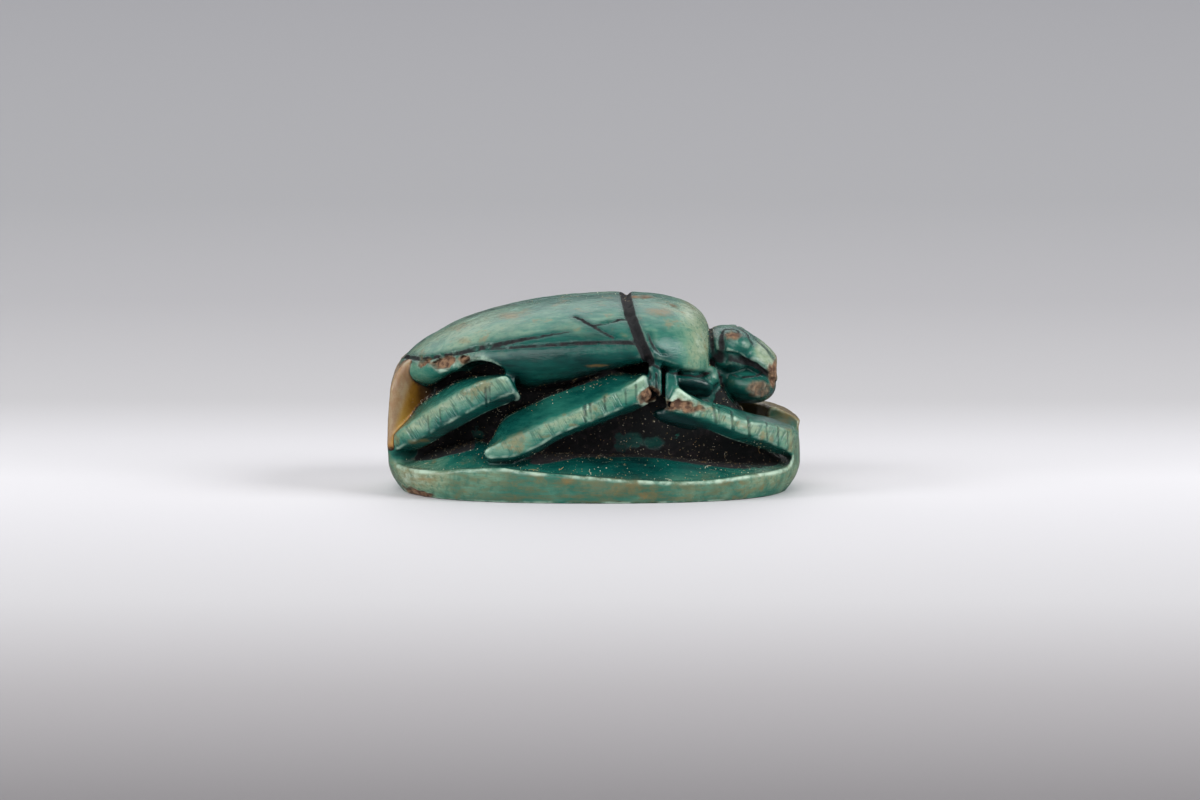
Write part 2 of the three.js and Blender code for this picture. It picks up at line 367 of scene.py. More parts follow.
    def stroke(self, distance: Array, points: Array, radii: Array) -> None:
        """Draws a round stroke through points into a distance field.

        Args:
            distance: The field to draw in, changed in place.
            points: The stroke's points, one row each.
            radii: The stroke's radius at each point, in millimetres.
        """
        for start, end, thin, thick in zip(points[:-1], points[1:], radii[:-1], radii[1:]):
            reach = max(thin, thick) + 6 * self.spacing
            low = ((np.minimum(start, end) - reach - self.low) / self.spacing).astype(int)
            high = ((np.maximum(start, end) + reach - self.low) / self.spacing).astype(int) + 1
            low, high = np.maximum(low, 0), np.minimum(high, self.counts)
            part = tuple(slice(a, b) for a, b in zip(low, high))
            run = end - start
            away = [
                (self.x, self.y, self.z)[k][tuple(part[k] if m == k else slice(None) for m in range(3))]
                - start[k]
                for k in range(3)
            ]
            t = sum(a * r for a, r in zip(away, run)) / max(float(run @ run), 1e-9)
            t = np.clip(t, 0, 1)
            gap = np.sqrt(sum((a - t * r) ** 2 for a, r in zip(away, run)))
            distance[part] = np.minimum(distance[part], gap - (thin + (thick - thin) * t))


def spread(points: Array, step: float) -> Array:
    """Puts points at even steps along a smooth curve through the ones given.

    Args:
        points: The curve's own points, one row each.
        step: The distance between the new points, in the same unit.

    Returns:
        The new points, one row each.
    """
    padded = np.vstack([2 * points[0] - points[1], points, 2 * points[-1] - points[-2]])
    fine = []
    for i in range(len(points) - 1):
        a, b, c, d = padded[i : i + 4]
        for t in np.linspace(0, 1, 12, endpoint=False):
            fine.append(
                0.5 * (2 * b + (c - a) * t + (2 * a - 5 * b + 4 * c - d) * t**2
                       + (3 * b - a - 3 * c + d) * t**3)
            )
    fine = np.array([*fine, points[-1]])
    run = np.concatenate([[0], np.cumsum(np.linalg.norm(np.diff(fine, axis=0), axis=1))])
    at = np.linspace(0, run[-1], max(int(run[-1] / step), 2) + 1)
    return np.stack([np.interp(at, run, fine[:, k]) for k in range(fine.shape[1])], axis=1)


RIM_TOP = Profile((
    (-1, 0.22), (-0.985, 0.205), (-0.97, 0.17), (-0.94, 0.152), (-0.8, 0.145), (-0.6, 0.168),
    (-0.46, 0.178), (-0.3, 0.163), (-0.12, 0.149), (0.11, 0.129), (0.33, 0.114), (0.54, 0.112),
    (0.78, 0.13), (0.9, 0.139), (0.94, 0.155), (0.958, 0.2), (0.975, 0.24), (1, 0.26),
))


@dataclass(frozen=True)
class BasePlate:
    """The oval plate that the beetle rests on."""

    squareness: float = 2.45
    side_setback: float = 0.2
    end_setback: float = 0.5
    wall_height: float = 1.25
    slope_run: float = 1.9
    edge_radius: float = 0.16
    slope_from: float = 0.2
    floor: Profile = Profile((
        (-1, 0.19), (-0.8, 0.215), (-0.65, 0.25), (-0.55, 0.28), (-0.4, 0.25), (-0.1, 0.218),
        (0.3, 0.21), (0.52, 0.18), (0.75, 0.155), (1, 0.18),
    ))

    def outline(self, size: Size) -> Oval:
        """Gives the rim's outline."""
        return Oval(size.half_length, size.half_width, self.squareness)

    def distance(self, block: StoneBlock) -> Array:
        """Gives the plate's distance field.

        Args:
            block: The lattice.

        Returns:
            The distances, negative inside the plate.
        """
        size = block.size
        depth = self.outline(size).depth(block.x, block.y)
        low = 1 - np.clip(block.z / self.wall_height, 0, 1)
        setback = self.side_setback + self.end_setback * np.abs(block.x / size.half_length) ** 3
        wall = setback * low * low - depth
        rim = RIM_TOP.along(block.x, size, size.height)
        floor = self.floor.along(block.x, size, size.height)
        top = rim + (floor - rim) * smooth_step(depth, self.slope_from, self.slope_run)
        return soft_max(wall, block.z - top, self.edge_radius)


@dataclass(frozen=True)
class Back:
    """The wing cases and the thorax shield: one domed form with an oval outline."""

    middle: float = -0.055
    half_width: float = 0.9
    rear: Point = (0.895, 2.1)
    front: Point = (0.628, 3.2)
    crown: float = 2.25
    end_share: float = 0.9985
    end_radius: float = 0.25
    top: Profile = Profile((
        (-0.955, 0.63), (-0.9, 0.7), (-0.8, 0.779), (-0.59, 0.888), (-0.28, 0.968), (0.03, 1),
        (0.25, 0.999), (0.4, 0.971), (0.494, 0.925), (0.55, 0.85), (0.575, 0.765),
    ))
    edge: Profile = Profile((
        (-0.955, 0.615), (-0.7, 0.67), (-0.4, 0.715), (0, 0.735), (0.27, 0.745), (0.42, 0.7),
        (0.575, 0.65),
    ))
    under: Profile = Profile((
        (-0.955, 0.03), (-0.91, 0.045), (-0.867, 0.08), (-0.8, 0.115), (-0.746, 0.1),
        (-0.7, 0.07), (-0.65, 0.055), (-0.55, 0.08), (-0.42, 0.16),
        (-0.32, 0.21), (-0.21, 0.195), (-0.09, 0.17), (0.024, 0.133), (0.14, 0.1),
        (0.257, 0.07), (0.35, 0.09), (0.42, 0.085), (0.5, 0.075), (0.575, 0.06),
    ))

    def distance(self, block: StoneBlock) -> Array:
        """Gives the back's distance field.

        Args:
            block: The lattice.

        Returns:
            The distances, negative inside the back.
        """
        size = block.size
        middle = self.middle * size.half_length
        reach, power = (
            np.where(block.x < middle, self.rear[i], self.front[i]).astype(np.float32) for i in (0, 1)
        )
        share = np.abs(block.x - middle) / (reach * size.half_length)
        inside = np.maximum(1 - np.minimum(share, 1) ** power, 1e-3) ** (1 / power)
        wide = self.half_width * size.half_width * inside
        edge = self.edge.along(block.x, size, size.height)
        rise = block.z - edge
        high = np.where(
            rise > 0,
            self.top.along(block.x, size, size.height) - edge,
            self.under.along(block.x, size, size.height),
        )
        ratio = ((np.abs(block.y) / wide) ** self.crown + (np.abs(rise) / high) ** self.crown)
        ratio = (ratio + NEARLY_ZERO) ** (1 / self.crown)
        slopes = np.gradient(ratio, block.spacing)
        steep = np.sqrt(sum(s * s for s in slopes)) + 1e-3
        ends = (share - self.end_share) * reach * size.half_length
        return soft_max((ratio - 1) / steep, ends, self.end_radius)


@dataclass(frozen=True)
class Core:
    """The block left between the legs, from the tail wall to the breast."""

    width: Profile = Profile((
        (-1, 0.38), (-0.91, 0.36), (-0.82, 0.3), (-0.72, 0.27), (-0.59, 0.34), (-0.42, 0.48),
        (-0.17, 0.5), (0.11, 0.49), (0.33, 0.48), (0.5, 0.44), (0.64, 0.36), (0.75, 0.3),
        (0.92, 0.24),
    ))
    tail: tuple[Point, ...] = (
        (0.12, -0.985), (0.25, -1.0), (0.36, -0.997), (0.46, -0.991), (0.55, -0.983),
        (0.61, -0.964), (0.68, -0.912),
    )
    breast: tuple[Point, ...] = (
        (0.12, 0.93), (0.28, 0.8), (0.36, 0.74), (0.46, 0.67), (0.55, 0.62), (0.61, 0.6),
        (0.68, 0.54),
    )
    corner_radius: float = 0.35
    levels: Point = (0.12, 0.69)

    def distance(self, block: StoneBlock) -> Array:
        """Gives the core's distance field.

        Args:
            block: The lattice.

        Returns:
            The distances, negative inside the core.
        """
        size = block.size
        heights = np.array([level[0] for level in self.tail]) * size.height
        tail, breast = (
            np.interp(block.z, heights, np.array([p[1] for p in ends]) * size.half_length)
            for ends in (self.tail, self.breast)
        )
        sides = np.abs(block.y) - self.width.along(block.x, size, size.half_width)
        ends = np.maximum(tail - block.x, block.x - breast)
        body = soft_max(sides, ends, self.corner_radius)
        low, high = (share * size.height for share in self.levels)
        beyond = np.maximum(block.z - high, low - block.z)
        return soft_max(body, beyond, self.corner_radius)


@dataclass(frozen=True)
class Leg:
    """A pair of legs, or one: chamfered bars that follow the base's outline from knee to foot.

    Each knot is (share of half length, share of height, half thickness as a share of height).
    Above and below say how far the chamfers spread, as shares of the height. Reach and inset are
    shares of the half width. Lean is how far the outer face goes inwards for each unit of height,
    and at the base's ends it is multiplied by 1 - splay. End radius counts in edge radii. The
    other lengths are in millimetres.
    """

    knots: tuple[tuple[float, float, float], ...]
    above: float
    below: float
    reach: float
    inset: float = 0.0
    lean: float = LEG_LEAN
    splay: float = 1.6
    taper: float = 1.6
    # A shaded leg gets painted shade: darker glaze, and its pale edges are lowered.
    shaded: bool = False
    upper_chamfer: float = 0.75
    lower_chamfer: float = 0.6
    edge_radius: float = 0.1
    inner_radius: float = 0.2
    end_radius: float = 3.0
    ends_from: float = 0.8
    taper_from: float = 0.1
    slimmest: float = 0.5
    slope_step: float = 0.25
    side: Side | None = None

    def frame(self, block: StoneBlock) -> tuple[Array, Array, Array]:
        """Measures each place against the leg's middle line, as seen from the side.

        Args:
            block: The lattice.

        Returns:
            The height over the line, the leg's half thickness and the distance past the nearer of
            its two ends, in millimetres.
        """
        size = block.size
        forwards = self.knots[-1][0] > self.knots[0][0]
        ordered = self.knots if forwards else self.knots[::-1]
        line = Profile(tuple((x, z) for x, z, _ in ordered))
        half = Profile(tuple((x, h) for x, _, h in ordered)).along(block.x, size, size.height)
        middle = line.along(block.x, size, size.height)
        ahead = line.along(block.x + self.slope_step, size, size.height)
        behind = line.along(block.x - self.slope_step, size, size.height)
        slope = (ahead - behind) / (2 * self.slope_step)
        cosine = 1 / np.sqrt(1 + slope * slope)
        scale = [size.half_length, size.height]
        first, last = (np.array(knot[:2]) * scale for knot in (ordered[0], ordered[-1]))
        tilt = math.atan2(last[1] - first[1], last[0] - first[0])
        run = block.x * math.cos(tilt) + block.z * math.sin(tilt)
        start = first[0] * math.cos(tilt) + first[1] * math.sin(tilt)
        stop = last[0] * math.cos(tilt) + last[1] * math.sin(tilt)
        return (block.z - middle) * cosine, half, np.maximum(start - run, run - stop)

    def behind_face(self, block: StoneBlock, outline: Oval) -> Array:
        """Measures how far each place lies behind the leg's outer face.

        Args:
            block: The lattice.
            outline: The base's outline.

        Returns:
            The distances, negative in front of the face.
        """
        size = block.size
        rim = RIM_TOP.along(block.x, size, size.height)
        ends = smooth_step(np.abs(block.x / size.half_length), self.ends_from, 1)
        lean = self.lean * (1 - self.splay * ends)
        return outline.depth(block.x, block.y) - self.inset * size.half_width - lean * (block.z - rim)

    def distance(self, block: StoneBlock, outline: Oval) -> Array:
        """Gives the distance field of the pair.

        Args:
            block: The lattice.
            outline: The base's outline.

        Returns:
            The distances, negative inside the legs.
        """
        size = block.size
        rise, half, past = self.frame(block)
        depth = self.behind_face(block, outline)
        full = smooth_step(-past, self.taper_from, self.taper)
        shoulder = self.above * size.height * np.clip(depth / self.upper_chamfer, 0, 1)
        over = rise - half - shoulder * full
        heel = self.below * size.height * np.clip(depth / self.lower_chamfer, 0, 1)
        beneath = -rise - half - heel
        bar = soft_max(over, beneath, self.edge_radius)
        bar = soft_max(bar, -depth, self.edge_radius)
        wide = self.slimmest + (1 - self.slimmest) * full
        inner = depth - self.reach * size.half_width * wide
        bar = soft_max(bar, inner, self.inner_radius)
        bar = soft_max(bar, past, self.end_radius * self.edge_radius)
        return bar if self.side is None else np.maximum(bar, -self.side.value * block.y)


HIND_LEG = Leg(
    ((-0.39, 0.605, 0.045), (-0.54, 0.55, 0.052), (-0.7, 0.455, 0.052), (-0.85, 0.35, 0.045),
     (-0.92, 0.303, 0.038), (-0.968, 0.26, 0.033), (-0.995, 0.232, 0.033)),
    above=0.035, below=0.05, reach=0.4, taper=2.4,
)
MIDDLE_LEG = Leg(
    ((0.272, 0.6, 0.06), (0.237, 0.585, 0.056), (0.184, 0.555, 0.047), (0.065, 0.499, 0.041),
     (-0.039, 0.45, 0.038), (-0.18, 0.39, 0.037), (-0.283, 0.333, 0.043), (-0.39, 0.286, 0.044),
     (-0.47, 0.262, 0.032), (-0.53, 0.245, 0.02)),
    above=0.1, below=0.035, reach=0.5, upper_chamfer=1.3,
)
FORE_LEG = Leg(
    ((0.37, 0.545, 0.058), (0.42, 0.515, 0.046), (0.492, 0.476, 0.036), (0.56, 0.447, 0.031),
     (0.655, 0.4, 0.029), (0.748, 0.362, 0.031), (0.813, 0.34, 0.038), (0.877, 0.314, 0.043),
     (0.935, 0.284, 0.046), (0.968, 0.255, 0.05), (0.99, 0.222, 0.06)),
    above=0.03, below=0.055, reach=0.2, taper=3.2,
)
KEEL = Leg(
    ((0.275, 0.463, 0.004), (0.32, 0.452, 0.016), (0.37, 0.44, 0.026), (0.52, 0.405, 0.03)),
    above=0.0, below=0.03, reach=0.3, inset=0.05, edge_radius=0.16, shaded=True,
)
THIGH = Leg(
    ((0.33, 0.617, 0.01), (0.4, 0.611, 0.014), (0.5, 0.596, 0.015), (0.58, 0.57, 0.012)),
    above=0.05, below=0.06, reach=0.42, inset=0.15, edge_radius=0.16, shaded=True,
)
FAR_FOOT = Leg(
    ((0.7, 0.385, 0.03), (0.8, 0.362, 0.04), (0.88, 0.34, 0.045), (0.945, 0.314, 0.05),
     (1.0, 0.292, 0.05)),
    above=0.02, below=0.04, reach=0.2, splay=2.6, side=Side.LEFT,
)


@dataclass(frozen=True)
class Post:
    """A short upright block of stone left between two parts, on both sides."""

    along: Point
    levels: Point
    setback: float
    reach: float = 1.2
    corner_radius: float = 0.12
    # A shaded post gets painted shade: darker glaze, and its pale edges are lowered.
    shaded: bool = False

    def distance(self, block: StoneBlock, outline: Oval) -> Array:
        """Gives the distance field of the pair.

        Args:
            block: The lattice.
            outline: The base's outline.

        Returns:
            The distances, negative inside the posts.
        """
        size = block.size
        first, last = (share * size.half_length for share in self.along)
        low, high = (share * size.height for share in self.levels)
        rim = RIM_TOP.along(block.x, size, size.height)
        depth = outline.depth(block.x, block.y) - LEG_LEAN * (block.z - rim) - self.setback
        body = soft_max(np.maximum(first - block.x, block.x - last), -depth, self.corner_radius)
        body = soft_max(body, depth - self.reach, self.corner_radius)
        return soft_max(body, np.maximum(low - block.z, block.z - high), self.corner_radius)


@dataclass(frozen=True)
class Mass:
    """A rounded mass of the head, or a hollow: middle and half sizes in shares, tip in degrees."""

    at: Triple
    size: Triple
    tip: float = 0.0

    def distance(self, block: StoneBlock) -> Array:
        """Gives the mass's distance field. A mass off the middle is made on both sides.

        Args:
            block: The lattice.

        Returns:
            The distances, negative inside the mass.
        """
        size = block.size
        scale = (size.half_length, size.half_width, size.height)
        x = block.x - self.at[0] * scale[0]
        y = np.abs(block.y) - self.at[1] * scale[1]
        z = block.z - self.at[2] * scale[2]
        turn = math.radians(self.tip)
        along = x * math.cos(turn) - z * math.sin(turn)
        above = x * math.sin(turn) + z * math.cos(turn)
        parts = (along, y, above)
        radii = [share * full for share, full in zip(self.size, scale)]
        ratio = np.sqrt(sum((p / r) ** 2 for p, r in zip(parts, radii)))
        steep = np.sqrt(sum((p / (r * r)) ** 2 for p, r in zip(parts, radii))) + NEARLY_ZERO
        return ratio * (ratio - 1) / steep


@dataclass(frozen=True)
class Break:
    """A flat place where a corner has broken off: its middle, the way it faces, its levels.

    The levels are shares of the height, and the level share is how much of the roughness they take.
    """

    at: Triple
    facing: Triple
    levels: Point = (0.0, 1.0)
    roughness: float = 0.1
    level_share: float = 0.5
    corner_radius: float = 0.06
    edge_radius: float = 0.04


@dataclass(frozen=True)
class Head:
    """The head, tipped down in front of the thorax, with its front corners broken off."""

    neck: Mass = Mass((0.58, 0, 0.61), (0.13, 0.34, 0.14))
    shoulder: Mass = Mass((0.56, 0.42, 0.6), (0.05, 0.14, 0.06), 30)
    skull: Mass = Mass((0.65, 0, 0.71), (0.15, 0.42, 0.127), 10)
    shield: Mass = Mass((0.775, 0, 0.68), (0.17, 0.34, 0.085), 38)
    jaw: Mass = Mass((0.728, 0, 0.552), (0.158, 0.385, 0.112), 14)
    eye: Mass = Mass((0.69, 0.29, 0.765), (0.07, 0.1, 0.055), 20)
    fillet: float = 0.12
    grain: tuple[Layer, ...] = (Layer(0.7, 0.55, 11), Layer(0.3, 0.2, 12))
    bare_skin: float = 0.1
    breaks: tuple[Break, ...] = (
        Break((0.887, 0, 0.6), (1, 0, 0.06)),
        Break((0.8, -0.3, 0.52), (0.66, -0.72, -0.1), (0.0, 0.6), 0.16),
        Break((0.845, 0.33, 0.55), (0.62, 0.76, 0.1), (0.0, 0.66), 0.16),
    )

    def distance(self, block: StoneBlock) -> Array:
        """Gives the unbroken head's distance field.

        Args:
            block: The lattice.

        Returns:
            The distances, negative inside the head.
        """
        whole = self.neck.distance(block)
        for mass in (self.shoulder, self.skull, self.shield, self.jaw, self.eye):
            whole = soft_min(whole, mass.distance(block), self.fillet)
        return whole

    def broken(self, block: StoneBlock, whole: Array) -> tuple[Array, Array]:
        """Breaks the corners off.

        Args:
            block: The lattice.
            whole: The unbroken head's distance field.

        Returns:
            The broken head's distance field, and how far each place is from a break.
        """
        size = block.size
        scale = (size.half_length, size.half_width, size.height)
        grain = block.unevenness(self.grain)
        nearest = block.blank()
        for corner in self.breaks:
            facing = Vector(corner.facing).normalized()
            away = [
                axis - share * full
                for axis, share, full in zip((block.x, block.y, block.z), corner.at, scale)
            ]
            past = sum(part * way for part, way in zip(away, facing)) + corner.roughness * grain
            low, high = (share * size.height for share in corner.levels)
            level = np.maximum(low - block.z, block.z - high)
            level = level + corner.level_share * corner.roughness * grain
            gone = soft_max(-past, level, corner.corner_radius)
            nearest = np.minimum(nearest, np.maximum(gone, whole - self.bare_skin))
            whole = soft_max(whole, -gone, corner.edge_radius)
        return whole, nearest


@dataclass(frozen=True)
class CutLine:
    """A line cut into the side, drawn as seen from that side."""

    path: tuple[Point, ...]
    radius: float
    fade: tuple[float, float] = (1.0, 1.0)
    slant: float = 0.0


@dataclass(frozen=True)
class Chip:
    """A spot on the stone: a chip, a stain or a gap in the dirt and painted shade.

    Its middle and half sizes are shares of the half length, half width and height. A chip's depth
    is in millimetres, and it is tipped by degrees.
    """

    at: Triple
    size: Triple
    depth: float = 0.12
    tip: float = 0.0


@dataclass(frozen=True)
class Parts:
    """The distance fields of the beetle's parts, kept for telling them apart."""

    base: Array
    core: Array
    back: Array
    head: Array
    limbs: Array
    shaded: Array


@dataclass(frozen=True)
class Survey:
    """What the carved stone is measured for once, so that every mark can use it.

    Ahead and above are shares of the half length and of the height. Depth is how far inside the
    base's outline a place is. Solid is 1 in stone. Recess is 0.5 on a flat face and more in a wide
    hollow. Sky is 1 on a face that looks up and -1 on one that looks down.
    """

    block: StoneBlock
    parts: Parts
    outline: Oval
    ahead: Array
    above: Array
    depth: Array
    solid: Array
    recess: Array
    sky: Array

    @classmethod
    def of(cls, block: StoneBlock, parts: Parts, outline: Oval) -> Survey:
        """Measures a carved stone.

        Args:
            block: The carved stone.
            parts: The distance fields of the beetle's parts.
            outline: The base's outline.

        Returns:
            The survey.
        """
        solid = (block.distance < 0).astype(np.float32)
        upwards = -np.gradient(block.blur(solid, SKY_REACH), block.spacing, axis=2)
        return cls(
            block=block,
            parts=parts,
            outline=outline,
            ahead=block.x / block.size.half_length,
            above=block.z / block.size.height,
            depth=outline.depth(block.x, block.y),
            solid=solid,
            recess=block.blur(solid, RECESS_REACH),
            sky=np.clip(upwards / SKY_SCALE, -1, 1),
        )


@dataclass(frozen=True)
class Facet:
    """A pale facet on each side of the head's front: a tipped oval in shares, with a soft edge."""

    at: Point = (0.835, 0.69)
    size: Point = (0.05, 0.065)
    tip: Point = (0.75, 0.66)
    oval: Point = (0.7, 1.3)
    reach: float = 1.4
    softness: float = 0.6

    def on(self, seen: Survey) -> Array:
        """Gives 1 on the facet, fading to 0 round it."""
        ahead = (seen.ahead - self.at[0]) / self.size[0]
        above = (seen.above - self.at[1]) / self.size[1]
        lean = ahead * self.tip[0] + above * self.tip[1]
        cross = above * self.tip[0] - ahead * self.tip[1]
        away = np.sqrt((lean / self.oval[0]) ** 2 + (cross / self.oval[1]) ** 2)
        return smooth_step(self.reach - away, 0, self.softness)


@dataclass(frozen=True)
class Shanks:
    """The legs' outer faces: 1 on them, the distance along them, and the glaze low on them."""

    on: Array
    run: Array
    low: Array


@dataclass(frozen=True)
class Weathering:
    """How the stone has aged and where shade is painted: where glaze pools, wears thin or browns, where
    dirt lies, and where painted shade darkens the glaze and blackens the recesses.

    A span says where a mark starts and where it is full. Spans along and up are shares of the half
    length and of the height, and the others are in millimetres.
    """

    stains: tuple[Chip, ...] = (
        Chip((-0.87, -0.5, 0.285), (0.05, 0.3, 0.03)),
        Chip((-0.82, -0.6, 0.29), (0.05, 0.3, 0.02)),
        Chip((-0.24, -0.9, 0.345), (0.06, 0.3, 0.02)),
        Chip((-0.4, -0.9, 0.28), (0.05, 0.3, 0.02)),
        Chip((-0.1, -0.9, 0.4), (0.05, 0.3, 0.015)),
        Chip((-0.12, -1.0, 0.12), (0.06, 0.3, 0.03)),
        Chip((0.24, -1.0, 0.04), (0.05, 0.3, 0.03)),
        Chip((0.81, -0.6, 0.32), (0.035, 0.3, 0.04)),
        Chip((0.855, -0.6, 0.3), (0.02, 0.3, 0.035)),
        Chip((0.62, -0.7, 0.42), (0.02, 0.3, 0.03)),
        Chip((0.69, -0.7, 0.39), (0.02, 0.3, 0.03)),
        Chip((0.36, -0.95, 0.51), (0.06, 0.3, 0.03)),
        Chip((0.5, -0.95, 0.48), (0.06, 0.3, 0.02)),
        Chip((-0.1, -0.3, 0.95), (0.2, 0.3, 0.02)),
        Chip((0.3, -0.45, 0.94), (0.13, 0.3, 0.035)),
        Chip((-0.42, -0.45, 0.92), (0.13, 0.3, 0.03)),
        Chip((-0.62, -0.5, 0.8), (0.07, 0.3, 0.03)),
        Chip((0.02, -0.85, 0.695), (0.1, 0.3, 0.012)),
        Chip((0.12, -0.9, 0.65), (0.13, 0.3, 0.02)),
        Chip((0.62, -1.0, 0.1), (0.1, 0.3, 0.03)),
        Chip((-0.8, -0.6, 0.1), (0.12, 0.4, 0.02)),
        Chip((0.3, 0.9, 0.5), (0.06, 0.3, 0.03)),
        Chip((-0.5, 0.8, 0.5), (0.08, 0.3, 0.03)),
        Chip((0.1, 1.0, 0.08), (0.12, 0.3, 0.04)),
    )
    gaps: tuple[Chip, ...] = (
        Chip((0.18, -0.35, 0.285), (0.11, 0.9, 0.08)),
        Chip((0.29, -0.35, 0.265), (0.1, 0.9, 0.065)),
        Chip((-0.56, -0.5, 0.3), (0.06, 0.8, 0.05)),
    )
    # How far inside the base's outline the dirt and the painted shade start, along the beetle.
    dirt_and_shade_from: Profile = Profile((
        (-1, 0.4), (-0.87, 0.55), (-0.68, 1.0), (-0.5, 1.1), (-0.3, 0.6), (-0.12, 1.2),
        (-0.04, 1.7), (0.13, 1.8), (0.35, 1.4), (0.61, 1.1), (0.8, 0.6), (1, 0.35),
    ))
    facet: Facet = Facet()
    shank_falls: tuple[tuple[Leg, float], ...] = (
        (HIND_LEG, 0.45), (MIDDLE_LEG, 0.25), (FORE_LEG, 0.1),
    )
    tail_along: Point = (0.64, 0.78)
    tail_up: Point = (0.22, 0.26)
    tail_skin: Point = (-0.12, -0.02)
    tail_clear: Point = (0.0, 0.08)
    rear_edge: Triple = (0.9, 0.31, 0.527)
    rear_soft: float = 0.02
    amber_along: Point = (0.74, 0.96)
    wall_depth: Point = (-0.35, -0.15)
    front_lip: float = 0.26
    front_lip_along: Point = (0.945, 0.965)
    slope_depth: Point = (0.15, 0.4)
    slope_top: float = 0.3
    level_soft: float = 0.1
    # Glaze darkness by how far a face looks up: darker where it looks down, partly pooled glaze and partly
    # painted shade.
    back_by_sky: tuple[Point, ...] = (
        (-0.6, 0.62), (-0.1, 0.6), (0.1, 0.58), (0.3, 0.47), (0.6, 0.42), (1, 0.42),
    )
    head_by_sky: tuple[Point, ...] = ((-0.5, 0.85), (0, 0.6), (1, 0.5))
    zone_reach: float = 0.25
    least_weight: float = 0.001

    def marks(self, seen: Survey) -> dict[str, Array]:
        """Works out the lattices of surface marks.

        Args:
            seen: The survey of the carved stone.

        Returns:
            The lattices by name: glaze, how dark the glaze colour lies, 0 to 1, from glaze pooled in the
            hollows and from painted shade where a face looks down or lies under other parts; nook, 0.5 on
            a flat face and more in a hollow; edge, above 0 on a sharp edge and lowered on the shaded
            parts; dirt_and_shade, 1 where dirt lies deep and where shade is painted in the recesses;
            amber, 1 on the tail's inner faces; tail, 1 on its rear face; shank, 1 on a leg's outer face;
            run, the distance along a leg; wall, 1 on the base's wall; dust, how thick dust lies; stain, 1
            in the middle of a stain; and sear, 1 on the browned foot.
        """
        block, parts = seen.block, seen.parts
        near = np.clip(block.distance, -0.4, 0.4)
        amber, tail = self.tail_faces(seen)
        shanks = self.shanks(seen)
        dirt_and_shade = self.dirt_and_shade(seen, amber)
        wall = self.wall(seen)
        shade = smooth_step(-parts.shaded, -0.2, -0.08)
        return {
            "glaze": self.glaze(seen, shanks, wall),
            "nook": block.blur(seen.solid, 0.3),
            # The sharp-edge measure is lowered on the shaded parts, so the pale edge, partly a painted
            # highlight, stays off them.
            "edge": block.blur(near, 0.12) - near - 0.1 * shade,
            "dirt_and_shade": dirt_and_shade,
            "amber": amber,
            "tail": tail,
            "shank": shanks.on,
            "run": shanks.run,
            "wall": wall,
            "dust": self.dust(seen, dirt_and_shade),
            "stain": around(block, self.stains),
            "sear": self.sear(seen),
        }

    def tail_faces(self, seen: Survey) -> tuple[Array, Array]:
        """Finds the tail's browned faces.

        Args:
            seen: The survey of the carved stone.

        Returns:
            The marks of the tail's inner faces and of its rear face.
        """
        core, back = seen.parts.core, seen.parts.back
        tail = smooth_step(-seen.ahead, *self.tail_along) * smooth_step(-core, *self.tail_skin)
        tail = tail * smooth_step(seen.above, *self.tail_up)
        tail = tail * smooth_step(back - core, *self.tail_clear)
        start, lean, level = self.rear_edge
        edge = start + lean * (level - seen.above)
        rear = smooth_step(-seen.ahead - edge, -self.rear_soft, self.rear_soft)
        return tail * smooth_step(-seen.ahead, *self.amber_along), tail * rear

    def shanks(self, seen: Survey) -> Shanks:
        """Finds the legs' outer faces.

        Args:
            seen: The survey of the carved stone.

        Returns:
            The marks of the outer faces.
        """
        block, size = seen.block, seen.block.size
        shank, run, low = block.blank(0), block.blank(0), block.blank(0)
        for leg, fall in self.shank_falls:
            rise, half, past = leg.frame(block)
            on = smooth_step(half + 0.06 - np.abs(rise), 0, 0.1) * smooth_step(-past, 0, 0.2)
            on = on * smooth_step(-leg.behind_face(block, seen.outline), -0.5, -0.3)
            shank = np.maximum(shank, on)
            low = np.where(on > 0.01, fall * smooth_step(-rise / half, -0.5, 0.8), low)
            first, last = leg.knots[0], leg.knots[-1]
            up = (last[1] - first[1]) * size.height
            tilt = math.atan2(up, (last[0] - first[0]) * size.half_length)
            run = np.where(on > 0.01, block.x * math.cos(tilt) + block.z * math.sin(tilt), run)
        return Shanks(shank, run, low)

    def dirt_and_shade(self, seen: Survey, amber: Array) -> Array:
        """Finds where dirt lies deep and where shade is painted near-black: under the back, inside the
        legs and in wide hollows.

        Args:
            seen: The survey of the carved stone.
            amber: The mark of the tail's inner faces, which dirt leaves free.

        Returns:
            The mark.
        """
        block, parts = seen.block, seen.parts
        # Painted shade: the recesses under the back, inside the legs and in wide hollows are marked
        # near-black, along with the dirt there.
        nearest = np.minimum(parts.back, np.minimum(parts.head, parts.limbs))
        start = self.dirt_and_shade_from.along(block.x, block.size, 1.0)
        inwards = smooth_step(seen.depth - start, 0, 0.6)
        dirt_and_shade = smooth_step(nearest, 0.08, 0.4) * inwards * smooth_step(-seen.above, -0.74, -0.66)
        hollow = smooth_step(seen.recess, 0.66, 0.74)
        dirt_and_shade = np.maximum(dirt_and_shade * smooth_step(block.z, 0.3, 0.9), hollow)
        dirt_and_shade = dirt_and_shade * (1 - around(block, self.gaps))
        return dirt_and_shade * (1 - smooth_step(amber, 0, 0.1))

